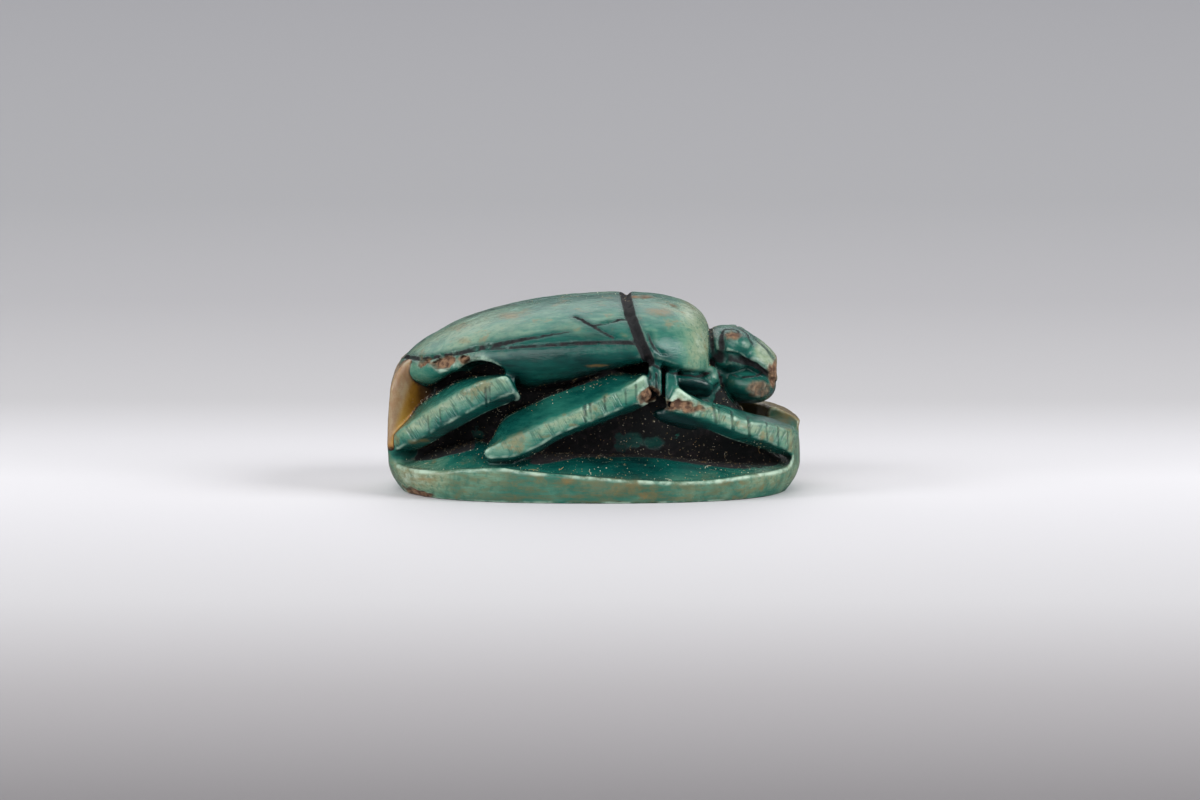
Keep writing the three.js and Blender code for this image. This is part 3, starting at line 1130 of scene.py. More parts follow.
    def dust(self, seen: Survey, dirt_and_shade: Array) -> Array:
        """Finds where dust lies: in hollows that look up, on the base's slope and over dirt.

        Args:
            seen: The survey of the carved stone.
            dirt_and_shade: The mark of deep dirt and of painted shade in the recesses.

        Returns:
            The mark.
        """
        z, soft = seen.block.z, self.level_soft
        dust = smooth_step(seen.recess, 0.5, 0.6) * smooth_step(seen.sky, -0.2, 0.5)
        under = smooth_step(self.slope_top * seen.block.size.height - z, -soft, soft)
        slope = smooth_step(seen.depth, *self.slope_depth) * under
        dust = np.maximum(np.maximum(dust, 0.45 * slope), 0.7 * dirt_and_shade)
        return dust * smooth_step(z, 0.4, 0.8)

    def wall(self, seen: Survey) -> Array:
        """Finds the base's wall.

        Args:
            seen: The survey of the carved stone.

        Returns:
            The mark.
        """
        block, size = seen.block, seen.block.size
        rim = RIM_TOP.along(block.x, size, size.height)
        front = self.front_lip * size.height * smooth_step(seen.ahead, *self.front_lip_along)
        lip = np.maximum(rim, front)
        under = smooth_step(lip - block.z, -self.level_soft, self.level_soft)
        return smooth_step(-seen.depth, *self.wall_depth) * under

    def sear(self, seen: Survey) -> Array:
        """Finds the browned foot on the far side."""
        foot = smooth_step(seen.ahead, 0.62, 0.8) * smooth_step(seen.block.y, -0.2, 1.4)
        return foot * np.clip(1 - np.abs(seen.parts.limbs) / 0.3, 0, 1)

    def glaze(self, seen: Survey, shanks: Shanks, wall: Array) -> Array:
        """Finds how dark the glaze colour lies, blended from part to part: glaze pooled in the hollows,
        and painted shade where a face looks down, under the beetle and on the shaded parts.

        Args:
            seen: The survey of the carved stone.
            shanks: The marks of the legs' outer faces.
            wall: The mark of the base's wall.

        Returns:
            The mark.
        """
        ahead, sky, parts = seen.ahead, seen.sky, seen.parts
        middle = smooth_step(ahead, -0.55, -0.35) * smooth_step(-ahead, -0.42, -0.3)
        band = smooth_step(0.9 + 0.195 * ahead - seen.above, 0, 0.03)
        band = band * smooth_step(ahead, -0.56, -0.46) * smooth_step(-ahead, -0.3, 0)
        front, rear = smooth_step(ahead, 0.37, 0.47), smooth_step(-ahead, 0.5, 0.66)
        hollow = smooth_step(seen.recess, 0.5, 0.6)
        # Darker glaze where the back looks down and in its hollows: partly pooled glaze, partly painted
        # shade.
        on_back = np.interp(sky, *zip(*self.back_by_sky)) + 0.12 * band + 0.05 * middle
        on_back = on_back - 0.3 * front - 0.1 * rear + 0.1 * hollow
        # The head's glaze is darker where it looks down: partly pooled glaze, partly painted shade.
        on_head = np.interp(sky, *zip(*self.head_by_sky)) - 0.9 * self.facet.on(seen)
        # Painted shade on the legs: darker glaze where a face looks down, and on the shaded legs and post.
        behind_face = np.where(sky > 0, 0.68, 0.85)
        shade = smooth_step(-parts.shaded, -0.15, -0.05)
        on_limbs = np.where(shanks.on > 0.3, 0.2 + shanks.low, behind_face) + 0.3 * shade
        # The base's slope darkens further in under the beetle: pooled glaze and painted shade.
        on_slope = 0.54 + 0.08 * middle + 0.2 * smooth_step(seen.depth, 0.3, 1.6)
        ends = smooth_step(np.abs(ahead), 0.55, 0.8)
        on_base = np.where(wall > 0.5, 0.38 + 0.12 * middle, on_slope) - 0.18 * ends
        zones = (
            (parts.back, on_back), (parts.head, on_head), (parts.limbs, on_limbs),
            (parts.base, on_base),
        )
        weights = [
            np.clip(1 - np.abs(part) / self.zone_reach, self.least_weight, 1) for part, _ in zones
        ]
        glaze = sum(weight * tone for weight, (_, tone) in zip(weights, zones)) / sum(weights)
        return seen.block.blur(np.clip(glaze, 0, 1), 0.07)


def around(block: StoneBlock, spots: Sequence[Chip]) -> Array:
    """Finds the places round spots.

    Args:
        block: The lattice.
        spots: The spots.

    Returns:
        1 in the middle of each spot, fading to 0 at its edge.
    """
    scale = (block.size.half_length, block.size.half_width, block.size.height)
    deepest = block.blank(0)
    for spot in spots:
        away = [
            (axis - share * full) / (reach * full)
            for axis, share, full, reach in zip(
                (block.x, block.y, block.z), spot.at, scale, spot.size
            )
        ]
        deepest = np.maximum(deepest, 1 - np.sqrt(sum(part * part for part in away)))
    return deepest


@dataclass
class Scarab:
    """The carved stone: beetle and base in one piece."""

    size: Size
    base: BasePlate = field(default_factory=BasePlate)
    back: Back = field(default_factory=Back)
    core: Core = field(default_factory=Core)
    head: Head = field(default_factory=Head)
    legs: tuple[Leg, ...] = (HIND_LEG, MIDDLE_LEG, FORE_LEG, KEEL, THIGH, FAR_FOOT)
    posts: tuple[Post, ...] = (
        Post((0.264, 0.324), (0.54, 0.72), 0.35),
        Post((0.343, 0.4), (0.5, 0.66), 0.3),
        Post((-0.422, -0.378), (0.58, 0.74), 0.45, shaded=True),
    )
    hollows: tuple[Mass, ...] = (
        Mass((-0.54, 0.8, 0.625), (0.13, 0.36, 0.088)),
    )
    fillet: float = 0.14
    limb_share: float = 0.8
    hollow_radius: float = 0.15
    bore_radius: float = 0.75
    bore_height: float = 0.36
    bore_rounding: float = 0.12
    underside_rounding: float = 0.05
    carving_marks: tuple[Layer, ...] = (Layer(0.022, 0.9, 3), Layer(0.012, 0.33, 4))
    cut_lines: tuple[CutLine, ...] = (
        CutLine(((-0.93, 0.675), (-0.88, 0.695), (-0.82, 0.7), (-0.74, 0.722), (-0.66, 0.742)),
                0.085, (1.3, 0.9)),
        CutLine(((-0.66, 0.742), (-0.58, 0.767), (-0.5, 0.788)), 0.12, (0.8, 1.0)),
        CutLine(((-0.5, 0.788), (-0.3, 0.832), (-0.12, 0.862)), 0.075, (1.5, 0.25)),
        CutLine(((-0.5, 0.772), (-0.3, 0.793), (-0.1, 0.808), (0.06, 0.815), (0.22, 0.812)), 0.07,
                (0.5, 1.2)),
        CutLine(((-0.092, 0.929), (-0.03, 0.901), (0.035, 0.868), (0.092, 0.835)), 0.066,
                (1.1, 0.6)),
        CutLine(((0.014, 0.894), (0.07, 0.907), (0.13, 0.918), (0.184, 0.929)), 0.066,
                (0.7, 1.1)),
        CutLine(((0.262, 0.79), (0.271, 0.754), (0.289, 0.718), (0.315, 0.696), (0.352, 0.68)),
                0.045, (1.0, 0.5), SEEN_FROM),
        CutLine(((0.29, 0.627), (0.349, 0.6), (0.4166, 0.584), (0.5, 0.573), (0.55, 0.592)), 0.07,
                (0.6, 1.0), SEEN_FROM),
        CutLine(((0.563, 0.84), (0.568, 0.775), (0.574, 0.682), (0.57, 0.63)), 0.09, (0.9, 1.4),
                SEEN_FROM),
        CutLine(((0.621, 0.8), (0.614, 0.767), (0.615, 0.74), (0.62, 0.71)), 0.12, (0.5, 1.0),
                SEEN_FROM),
        CutLine(((0.59, 0.672), (0.61, 0.67), (0.647, 0.674), (0.683, 0.67), (0.719, 0.655),
                 (0.777, 0.628), (0.821, 0.6), (0.842, 0.575)), 0.16, (1.9, 0.6), SEEN_FROM),
        CutLine(((0.621, 0.802), (0.639, 0.817), (0.668, 0.82), (0.694, 0.809), (0.706, 0.782)),
                0.04, (1.0, 1.0), SEEN_FROM),
        CutLine(((0.683, 0.826), (0.7265, 0.8055), (0.752, 0.7707), (0.765, 0.74)), 0.04,
                (0.5, 1.0), SEEN_FROM),
        CutLine(((0.774, 0.7707), (0.806, 0.7437), (0.843, 0.705), (0.868, 0.666)), 0.04,
                (0.6, 0.6), SEEN_FROM),
        CutLine(((0.668, 0.5812), (0.712, 0.5696), (0.741, 0.5696), (0.785, 0.577), (0.81, 0.589)),
                0.045, (0.5, 0.8), SEEN_FROM),
        CutLine(((0.606, 0.6), (0.612, 0.56), (0.622, 0.52), (0.64, 0.49)), 0.1, (1.2, 1.0),
                SEEN_FROM),
    )
    knee_cuts: tuple[CutLine, ...] = (
        CutLine(((0.334, 0.645), (0.334, 0.59), (0.336, 0.535)), 0.085, (1.2, 0.7)),
        CutLine(((0.266, 0.655), (0.268, 0.6), (0.272, 0.53)), 0.05),
        CutLine(((0.298, 0.655), (0.3, 0.6), (0.302, 0.55)), 0.03),
    )
    nicks: tuple[CutLine, ...] = (
        CutLine(((-0.046, 0.5), (-0.04, 0.41)), 0.05, (1.2, 0.4)),
        CutLine(((-0.02, 0.505), (-0.012, 0.43)), 0.03, (1.2, 0.4)),
        CutLine(((0.05, 0.54), (0.055, 0.47)), 0.035, (1.2, 0.4)),
        CutLine(((0.15, 0.58), (0.154, 0.5)), 0.03, (1.2, 0.5)),
        CutLine(((0.2, 0.6), (0.203, 0.52)), 0.03, (1.2, 0.5)),
        CutLine(((0.575, 0.49), (0.584, 0.4)), 0.05, (1.1, 0.9)),
        CutLine(((0.6, 0.48), (0.603, 0.4)), 0.03, (1.1, 0.9)),
        CutLine(((0.66, 0.45), (0.668, 0.36)), 0.045, (1.0, 0.8)),
        CutLine(((0.742, 0.42), (0.748, 0.32)), 0.055, (1.0, 0.9)),
        CutLine(((0.83, 0.385), (0.835, 0.29)), 0.03, (1.0, 0.5)),
        CutLine(((0.885, 0.36), (0.89, 0.26)), 0.035, (0.8, 0.6)),
        CutLine(((0.93, 0.33), (0.933, 0.25)), 0.03, (0.8, 0.6)),
        CutLine(((-0.52, 0.58), (-0.515, 0.48)), 0.04, (1.2, 0.5)),
        CutLine(((-0.5, 0.59), (-0.496, 0.5)), 0.025, (1.2, 0.5)),
        CutLine(((-0.74, 0.46), (-0.735, 0.37)), 0.03, (1.0, 0.6)),
        CutLine(((-0.8, 0.42), (-0.795, 0.33)), 0.035, (1.0, 0.6)),
    )
    shield_groove: tuple[Point, ...] = (
        (0.152, 1.0), (0.155, 0.985), (0.17, 0.95), (0.195, 0.89), (0.225, 0.81), (0.25, 0.75),
        (0.262, 0.715),
    )
    shield_groove_radius: float = 0.19
    shield_groove_rounding: float = 0.09
    shield_groove_rim: float = 0.05
    side_levels: float = 0.97
    crown_steps: int = 20
    crown_fall: float = 3.2
    seam: Point = (-0.93, 0.15)
    seam_steps: int = 90
    seam_radius: float = 0.09
    line_rounding: float = 0.05
    line_marks: tuple[Layer, ...] = (Layer(0.045, 0.22, 31),)
    chip_marks: tuple[Layer, ...] = (Layer(0.12, 0.5, 21), Layer(0.07, 0.2, 22))
    chip_floor: float = 2.0
    bare_span: Point = (-0.06, 0.02)
    chips: tuple[Chip, ...] = (
        Chip((0.262, -0.87, 0.545), (0.052, 0.2, 0.045), 0.16),
        Chip((0.41, -0.86, 0.495), (0.075, 0.2, 0.028), 0.12),
        Chip((0.46, -0.86, 0.475), (0.06, 0.2, 0.015), 0.1),
        Chip((-0.735, -0.68, 0.692), (0.135, 0.3, 0.023), 0.14, 10),
        Chip((0.87, -0.22, 0.6), (0.03, 0.3, 0.06), 0.05),
        Chip((-0.36, -0.25, 0.985), (0.075, 0.1, 0.02), 0.04),
        Chip((-0.16, -0.3, 1.0), (0.05, 0.09, 0.02), 0.035),
        Chip((0.26, -0.22, 1.01), (0.07, 0.1, 0.02), 0.04),
        Chip((0.4, -0.3, 0.975), (0.04, 0.07, 0.02), 0.035),
        Chip((0.675, -0.28, 0.815), (0.03, 0.1, 0.014), 0.05),
        Chip((-0.87, -0.6, 0.015), (0.07, 0.3, 0.02), 0.1),
        Chip((-0.45, 0.9, 0.05), (0.12, 0.2, 0.04), 0.12),
        Chip((0.5, 0.86, 0.05), (0.1, 0.2, 0.035), 0.1),
        Chip((-0.2, 0.75, 0.85), (0.07, 0.1, 0.03), 0.05),
        Chip((0.9, 0.42, 0.31), (0.05, 0.2, 0.03), 0.1),
    )
    weathering: Weathering = field(default_factory=Weathering)

    def carve(self, spacing: float) -> tuple[StoneBlock, dict[str, Array]]:
        """Carves the whole stone.

        Args:
            spacing: The lattice's spacing, in millimetres.

        Returns:
            The carved block, and its lattices of surface marks by name.
        """
        block = StoneBlock(self.size, spacing)
        outline = self.base.outline(self.size)
        base = self.base.distance(block)
        block.join(base, self.fillet)
        core = self.core.distance(block)
        block.join(core, self.fillet)
        back = self.back.distance(block)
        block.join(back, self.fillet)
        for hollow in self.hollows:
            block.cut(hollow.distance(block), self.hollow_radius)
        head, broken = self.head.broken(block, self.head.distance(block))
        block.join(head, self.fillet)
        limbs, shaded = block.blank(), block.blank()
        for leg in self.legs:
            distance = leg.distance(block, outline)
            block.join(distance, self.fillet * self.limb_share)
            limbs = np.minimum(limbs, distance)
            if leg.shaded:
                shaded = np.minimum(shaded, distance)
        for post in self.posts:
            distance = post.distance(block, outline)
            block.join(distance, self.fillet * self.limb_share)
            limbs = np.minimum(limbs, distance)
            if post.shaded:
                shaded = np.minimum(shaded, distance)
        lines, nicks = self.cut_lines_into(block)
        bare = np.minimum(self.chip(block), broken)
        self.drill(block)
        block.distance += block.unevenness(self.carving_marks)
        block.cut(block.z, self.underside_rounding)
        parts = Parts(base, core, back, head, limbs, shaded)
        marks = self.weathering.marks(Survey.of(block, parts, outline))
        marks["line"] = np.clip(1 - lines / LINE_HALO, 0, 1)
        marks["nick"] = np.clip(1 - nicks / LINE_HALO, 0, 1)
        marks["bare"] = smooth_step(-bare, *self.bare_span)
        return block, marks

    def cut_lines_into(self, block: StoneBlock) -> tuple[Array, Array]:
        """Cuts every line into both sides.

        Args:
            block: The stone, changed in place.

        Returns:
            The distances to the nearest line and to the nearest nick.
        """
        lines, deep, nicks = block.blank(), block.blank(), block.blank()
        for side in Side:
            for field_of, cuts in ((lines, (*self.cut_lines, *self.knee_cuts)), (nicks, self.nicks)):
                for cut in cuts:
                    points = block.on_side(cut.path, side, cut.slant)
                    if len(points) < 2:
                        continue
                    share = np.linspace(0, 1, len(points))
                    radii = cut.radius * np.interp(share, (0, 0.5, 1), (cut.fade[0], 1, cut.fade[1]))
                    block.stroke(field_of, points, radii)
            points = self.over_the_back(block, side)
            block.stroke(deep, points, np.full(len(points), self.shield_groove_radius))
        seam = self.seam_points()
        block.stroke(lines, seam, np.full(len(seam), self.seam_radius))
        uneven = block.unevenness(self.line_marks)
        block.cut(lines + uneven, self.line_rounding)
        block.cut(deep + uneven, self.shield_groove_rounding)
        block.cut(nicks, self.line_rounding)
        return np.minimum(lines, deep - self.shield_groove_rim), nicks

    def over_the_back(self, block: StoneBlock, side: Side) -> Array:
        """Gives the points of the groove between thorax and wing cases.

        Args:
            block: The stone.
            side: Which side of the beetle.

        Returns:
            The groove's points from the crown down, one row each, in millimetres.
        """
        size = self.size
        start = self.shield_groove[0][0] * size.half_length
        low = [place for place in self.shield_groove if place[1] < self.side_levels]
        sides = block.on_side(low, side)
        over = np.linspace(0, 1, self.crown_steps)[:-1]
        first = sides[0]
        x = start + (first[0] - start) * over**2
        top = self.back.top.along(x, size, size.height)
        z = top - (top - first[2]) * over**self.crown_fall
        return np.vstack([np.stack([x, first[1] * over, z], axis=1), sides])

    def seam_points(self) -> Array:
        """Gives the points of the seam between the two wing cases.

        Returns:
            The seam's points, one row each, in millimetres.
        """
        x = np.linspace(*self.seam, self.seam_steps) * self.size.half_length
        z = self.back.top.along(x, self.size, self.size.height)
        return np.stack([x, np.zeros_like(x), z], axis=1)

    def chip(self, block: StoneBlock) -> Array:
        """Breaks the chips out.

        Args:
            block: The stone, changed in place.

        Returns:
            The distance to the nearest chip.
        """
        size = self.size
        scale = (size.half_length, size.half_width, size.height)
        rough = block.unevenness(self.chip_marks)
        nearest = block.blank()
        floor = block.distance
        for chip in self.chips:
            middle = [share * full for share, full in zip(chip.at, scale)]
            radii = [share * full for share, full in zip(chip.size, scale)]
            ahead, above = block.x - middle[0], block.z - middle[2]
            tip = math.radians(chip.tip)
            parts = (
                ahead * math.cos(tip) + above * math.sin(tip),
                block.y - middle[1],
                above * math.cos(tip) - ahead * math.sin(tip),
            )
            ratio = np.sqrt(sum((p / r) ** 2 for p, r in zip(parts, radii)))
            distance = (ratio - 1) * min(radii) + rough
            nearest = np.minimum(nearest, distance)
            deep = block.distance + chip.depth * (1 + self.chip_floor * rough)
            floor = np.maximum(floor, np.minimum(-distance, deep))
        block.distance = floor
        return nearest

    def drill(self, block: StoneBlock) -> None:
        """Drills the hole for a thread, end to end."""
        from_axis = np.sqrt(block.y**2 + (block.z - self.bore_height * self.size.height) ** 2)
        block.cut(from_axis - self.bore_radius, self.bore_rounding)

    def build(self, spacing: float, finish: GlazedSteatite) -> bpy.types.Object:
        """Carves the stone, makes its mesh and dresses it.

        Args:
            spacing: The lattice's spacing, in millimetres.
            finish: The stone's finish.

        Returns:
            The finished piece.
        """
        block, marks = self.carve(spacing)
        grid = openvdb.FloatGrid(3 * spacing)
        grid.copyFromArray(np.clip(block.distance, -3 * spacing, 3 * spacing))
        grid.transform = openvdb.createLinearTransform(voxelSize=spacing)
        points, triangles, quads = grid.convertToPolygons(isovalue=0.0, adaptivity=0.0)
        points = points + block.low
        mesh = bpy.data.meshes.new("carved_scarab")
        mesh.from_pydata((points * MM).tolist(), [], [*triangles.tolist(), *quads.tolist()])
        piece = add_piece("carved_scarab", mesh)
        thin_out(piece, MOST_TRIANGLES)
        mesh = piece.data
        mesh.validate()
        flat = np.empty(len(mesh.vertices) * 3, np.float32)
        mesh.vertices.foreach_get("co", flat)
        places = flat.reshape(-1, 3) / MM
        for name, values in marks.items():
            mark = mesh.attributes.new(name, "FLOAT", "POINT")
            mark.data.foreach_set("value", block.sample(values, places).astype(np.float32))
        mesh.shade_smooth()
        mesh.materials.append(finish.material())
        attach(piece, BODY)
        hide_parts(NODE)
        log.info("carved_scarab: %d triangles", len(mesh.polygons))
        return piece


def add_piece(name: str, mesh: bpy.types.Mesh) -> bpy.types.Object:
    """Puts a mesh in the scene.

    Args:
        name: The object's name.
        mesh: Its mesh.

    Returns:
        The object.
    """
    piece = bpy.data.objects.new(name, mesh)
    bpy.context.scene.collection.objects.link(piece)
    return piece


def settle(piece: bpy.types.Object) -> None:
    """Turns a piece's modifiers into its plain mesh.

    Args:
        piece: The piece, changed in place.
    """
    graph = bpy.context.evaluated_depsgraph_get()
    graph.update()
    made = bpy.data.meshes.new_from_object(piece.evaluated_get(graph))
    piece.modifiers.clear()
    piece.data = made


def thin_out(piece: bpy.types.Object, most: int) -> None:
    """Brings a piece's mesh down to triangles, no more than a number of them.

    Args:
        piece: The piece, changed in place.
        most: The most triangles that it may have.
    """
    piece.modifiers.new("triangles", "TRIANGULATE")
    settle(piece)
    count = len(piece.data.polygons)
    if count > most:
        thinner = piece.modifiers.new("thinner", "DECIMATE")
        thinner.ratio = most / count
        settle(piece)


def blank_material(name: str) -> bpy.types.Material:
    """Makes a material with an empty node tree.

    Args:
        name: The material's name.

    Returns:
        The material.
    """
    material = bpy.data.materials.new(name)
    material.use_nodes = True
    material.node_tree.nodes.clear()
    return material


class Bench:
    """Places nodes in a tree and wires them, in a maker's few words."""

    # A mix node keeps sockets for several kinds of value: these are the ones for colours.
    FIRST_COLOUR = 6
    SECOND_COLOUR = 7
    MIXED_COLOUR = 2

    def __init__(self, tree: bpy.types.NodeTree) -> None:
        """Starts on a tree."""
        self.tree = tree

    def place(self, kind: str, **settings: object) -> bpy.types.Node:
        """Adds a node.

        Args:
            kind: The node's type.
            settings: Its own settings, by name.

        Returns:
            The node.
        """
        node = self.tree.nodes.new(kind)
        for name, value in settings.items():
            setattr(node, name, value)
        return node

    def feed(self, socket: bpy.types.NodeSocket, value: object) -> None:
        """Wires a socket to another one, or sets its value.

        Args:
            socket: The input socket.
            value: An output socket, or a plain value.
        """
        if isinstance(value, bpy.types.NodeSocket):
            self.tree.links.new(value, socket)
        else:
            socket.default_value = value

    def mark(self, name: str) -> bpy.types.NodeSocket:
        """Reads one of the stone's surface marks."""
        return self.place("ShaderNodeAttribute", attribute_name=name).outputs["Fac"]

    def rise(self, value: object, low: float, high: float) -> bpy.types.NodeSocket:
        """Rises smoothly from 0 where a value is low to 1 where it is high.

        Args:
            value: The value.
            low: Where the rise starts.
            high: Where it ends.

        Returns:
            The risen value, 0 to 1.
        """
        node = self.place("ShaderNodeMapRange", interpolation_type="SMOOTHSTEP")
        self.feed(node.inputs["Value"], value)
        node.inputs["From Min"].default_value = low
        node.inputs["From Max"].default_value = high
        return node.outputs["Result"]

    def sum(self, operation: str, first: object, second: object) -> bpy.types.NodeSocket:
        """Does one sum on two numbers.

        Args:
            operation: Which sum.
            first: The first number.
            second: The second number.

        Returns:
            The outcome.
        """
        node = self.place("ShaderNodeMath", operation=operation)
        self.feed(node.inputs[0], first)
        self.feed(node.inputs[1], second)
        return node.outputs[0]

    def share(self, value: object, part: float) -> bpy.types.NodeSocket:
        """Takes a part of a number."""
        return self.sum("MULTIPLY", value, part)

    def blend_sum(self, value: object, first: object, first_part: float, second: object,
                  second_part: float) -> bpy.types.NodeSocket:
        """Adds parts of two noises, each counted from its middle, 0.5, to a number.

        Args:
            value: The number.
            first: One noise.
            first_part: How much of it is added.
            second: The other noise.
            second_part: How much of it is added.

        Returns:
            The outcome.
        """
        for noise, part in ((first, first_part), (second, second_part)):
            value = self.sum("ADD", value, self.share(self.sum("SUBTRACT", noise, 0.5), part))
        return value

    def vector_sum(self, operation: str, first: object, second: object) -> bpy.types.NodeSocket:
        """Does one sum on two vectors.

        Args:
            operation: Which sum.
            first: The first vector.
            second: The second vector.

        Returns:
            The outcome.
        """
        node = self.place("ShaderNodeVectorMath", operation=operation)
        self.feed(node.inputs[0], first)
        self.feed(node.inputs[1], second)
        return node.outputs["Vector"]

    def stretched(self, place: object, way: Triple) -> bpy.types.NodeSocket:
        """Scales a place along each axis, which draws a pattern out where the share is small."""
        return place if way == (1.0, 1.0, 1.0) else self.vector_sum("MULTIPLY", place, way)

    def millimetres(self) -> bpy.types.NodeSocket:
        """Gives the place on the piece.

        Returns:
            The place, in millimetres.
        """
        place = self.place("ShaderNodeTexCoord").outputs["Object"]
        node = self.place("ShaderNodeMapping")
        self.feed(node.inputs["Vector"], place)
        node.inputs["Scale"].default_value = (1 / MM, 1 / MM, 1 / MM)
        return node.outputs["Vector"]

    def noise(self, place: object, scale: float, detail: float = 4.0, rough: float = 0.6
              ) -> bpy.types.NodeSocket:
        """Gives uneven values of about 0.25 to 0.75.

        Args:
            place: Where, in millimetres.
            scale: How many humps there are to a millimetre.
            detail: How many finer layers lie over them.
            rough: How strong each finer layer is.

        Returns:
            The values.
        """
        node = self.place("ShaderNodeTexNoise")
        self.feed(node.inputs["Vector"], place)
        node.inputs["Scale"].default_value = scale
        node.inputs["Detail"].default_value = detail
        node.inputs["Roughness"].default_value = rough
        return node.outputs["Fac"]

    def mix(self, share: object, first: object, second: object) -> bpy.types.NodeSocket:
        """Mixes two colours.

        Args:
            share: How much of the second shows, 0 to 1.
            first: The first colour.
            second: The second colour.

        Returns:
            The mixed colour.
        """
        node = self.place("ShaderNodeMix", data_type="RGBA")
        self.feed(node.inputs[0], share)
        self.feed(node.inputs[self.FIRST_COLOUR], first)
        self.feed(node.inputs[self.SECOND_COLOUR], second)
        return node.outputs[self.MIXED_COLOUR]

    def ramp(self, value: object, stops: Sequence[tuple[float, Colour]]) -> bpy.types.NodeSocket:
        """Turns a number into a colour.

        Args:
            value: The number.
            stops: Colours with the rising numbers that they stand at.

        Returns:
            The colour.
        """
        node = self.place("ShaderNodeValToRGB")
        elements = node.color_ramp.elements
        elements[0].position, elements[0].color = stops[0]
        elements[1].position, elements[1].color = stops[-1]
        for position, tint in stops[1:-1]:
            elements.new(position).color = tint
        self.feed(node.inputs["Fac"], value)
        return node.outputs["Color"]

    def group(self, tree: bpy.types.NodeTree, **inputs: object) -> bpy.types.Node:
        """Places a group and feeds its inputs.

        Args:
            tree: The group.
            inputs: What each input takes, by name with _ for a space.

        Returns:
            The placed group.
        """
        node = self.place("ShaderNodeGroup", node_tree=tree)
        for name, value in inputs.items():
            self.feed(node.inputs[name.replace("_", " ")], value)
        return node

    def show(self, shader: bpy.types.Node) -> None:
        """Makes a shader the material's surface."""
        output = self.place("ShaderNodeOutputMaterial")
        self.feed(output.inputs["Surface"], shader.outputs["BSDF"])


def patches_group() -> bpy.types.NodeTree:
    """Builds the group that gives soft-edged patches: where noise passes a limit.

    Returns:
        The node group, with the inputs Place, Scale, Limit and Softness and the output Mask.
    """
    tree = bpy.data.node_groups.new("patches", "ShaderNodeTree")
    face = tree.interface
    face.new_socket("Place", in_out="INPUT", socket_type="NodeSocketVector")
    for name, value in (("Scale", 1.0), ("Limit", 0.55), ("Softness", 0.05)):
        face.new_socket(name, in_out="INPUT", socket_type="NodeSocketFloat").default_value = value
    face.new_socket("Mask", in_out="OUTPUT", socket_type="NodeSocketFloat")
    bench = Bench(tree)
    given = bench.place("NodeGroupInput").outputs
    noise = bench.place("ShaderNodeTexNoise")
    bench.feed(noise.inputs["Vector"], given["Place"])
    bench.feed(noise.inputs["Scale"], given["Scale"])
    noise.inputs["Detail"].default_value = 5.0
    noise.inputs["Roughness"].default_value = 0.62
    over = bench.sum("SUBTRACT", noise.outputs["Fac"], given["Limit"])
    mask = bench.place("ShaderNodeMapRange", interpolation_type="SMOOTHSTEP")
    bench.feed(mask.inputs["Value"], over)
    bench.feed(mask.inputs["From Max"], given["Softness"])
    bench.feed(bench.place("NodeGroupOutput").inputs["Mask"], mask.outputs["Result"])
    return tree


class GlazeBench(Bench):
    """A bench for the stone's material, with the stone's marks and the patterns that it shares."""

    MARKS = ("glaze", "nook", "edge", "dirt_and_shade", "amber", "tail", "shank", "run", "wall", "line",
             "nick", "bare", "dust", "stain", "sear")

    def __init__(self, tree: bpy.types.NodeTree) -> None:
        """Starts on a tree, and places the marks and the patterns."""
        super().__init__(tree)
        self.patches = patches_group()
        self.at = self.millimetres()
        self.marks = {name: self.mark(name) for name in self.MARKS}
        self.thin = self.rise(self.marks["glaze"], 0.7, 0.4)
        self.blotch = self.noise(self.stretched(self.at, (0.6, 0.8, 1.0)), 0.6, 3.0)
        self.grain = self.noise(self.at, 4.0, 6.0, 0.65)
        self.layers = self.noise(self.stretched(self.at, (0.35, 1.0, 2.2)), 2.6, 6.0, 0.7)
        self.fibres = self.noise(self.stretched(self.at, (1.0, 1.6, 0.6)), 2.4, 6.0, 0.7)
        self.stripe = self.striped()

    def striped(self) -> bpy.types.NodeSocket:
        """Draws stripes across the legs' outer faces, each after the distance along its leg.

        Returns:
            The stripes, 0 to 1.
        """
        along = self.place("ShaderNodeCombineXYZ")
        self.feed(along.inputs["X"], self.marks["run"])
        place = self.stretched(self.at, (0.12, 0.3, 0.12))
        stripes = self.noise(self.vector_sum("ADD", place, along.outputs[0]), 4.2, 3.0, 0.7)
        return self.sum("MULTIPLY", self.rise(stripes, 0.5, 0.66), self.marks["shank"])

    def patch(self, scale: float, limit: float, softness: float, way: Triple = (1.0, 1.0, 1.0)
              ) -> bpy.types.NodeSocket:
        """Places one mask of patches.

        Args:
            scale: How many patches there are to a millimetre, about.
            limit: What the noise has to pass: higher leaves fewer patches.
            softness: How soft the patches' edges are.
            way: The share of each axis, which draws the patches out where it is small.

        Returns:
            The mask.
        """
        group = self.group(self.patches, Place=self.stretched(self.at, way), Scale=scale,
                           Limit=limit, Softness=softness)
        return group.outputs["Mask"]


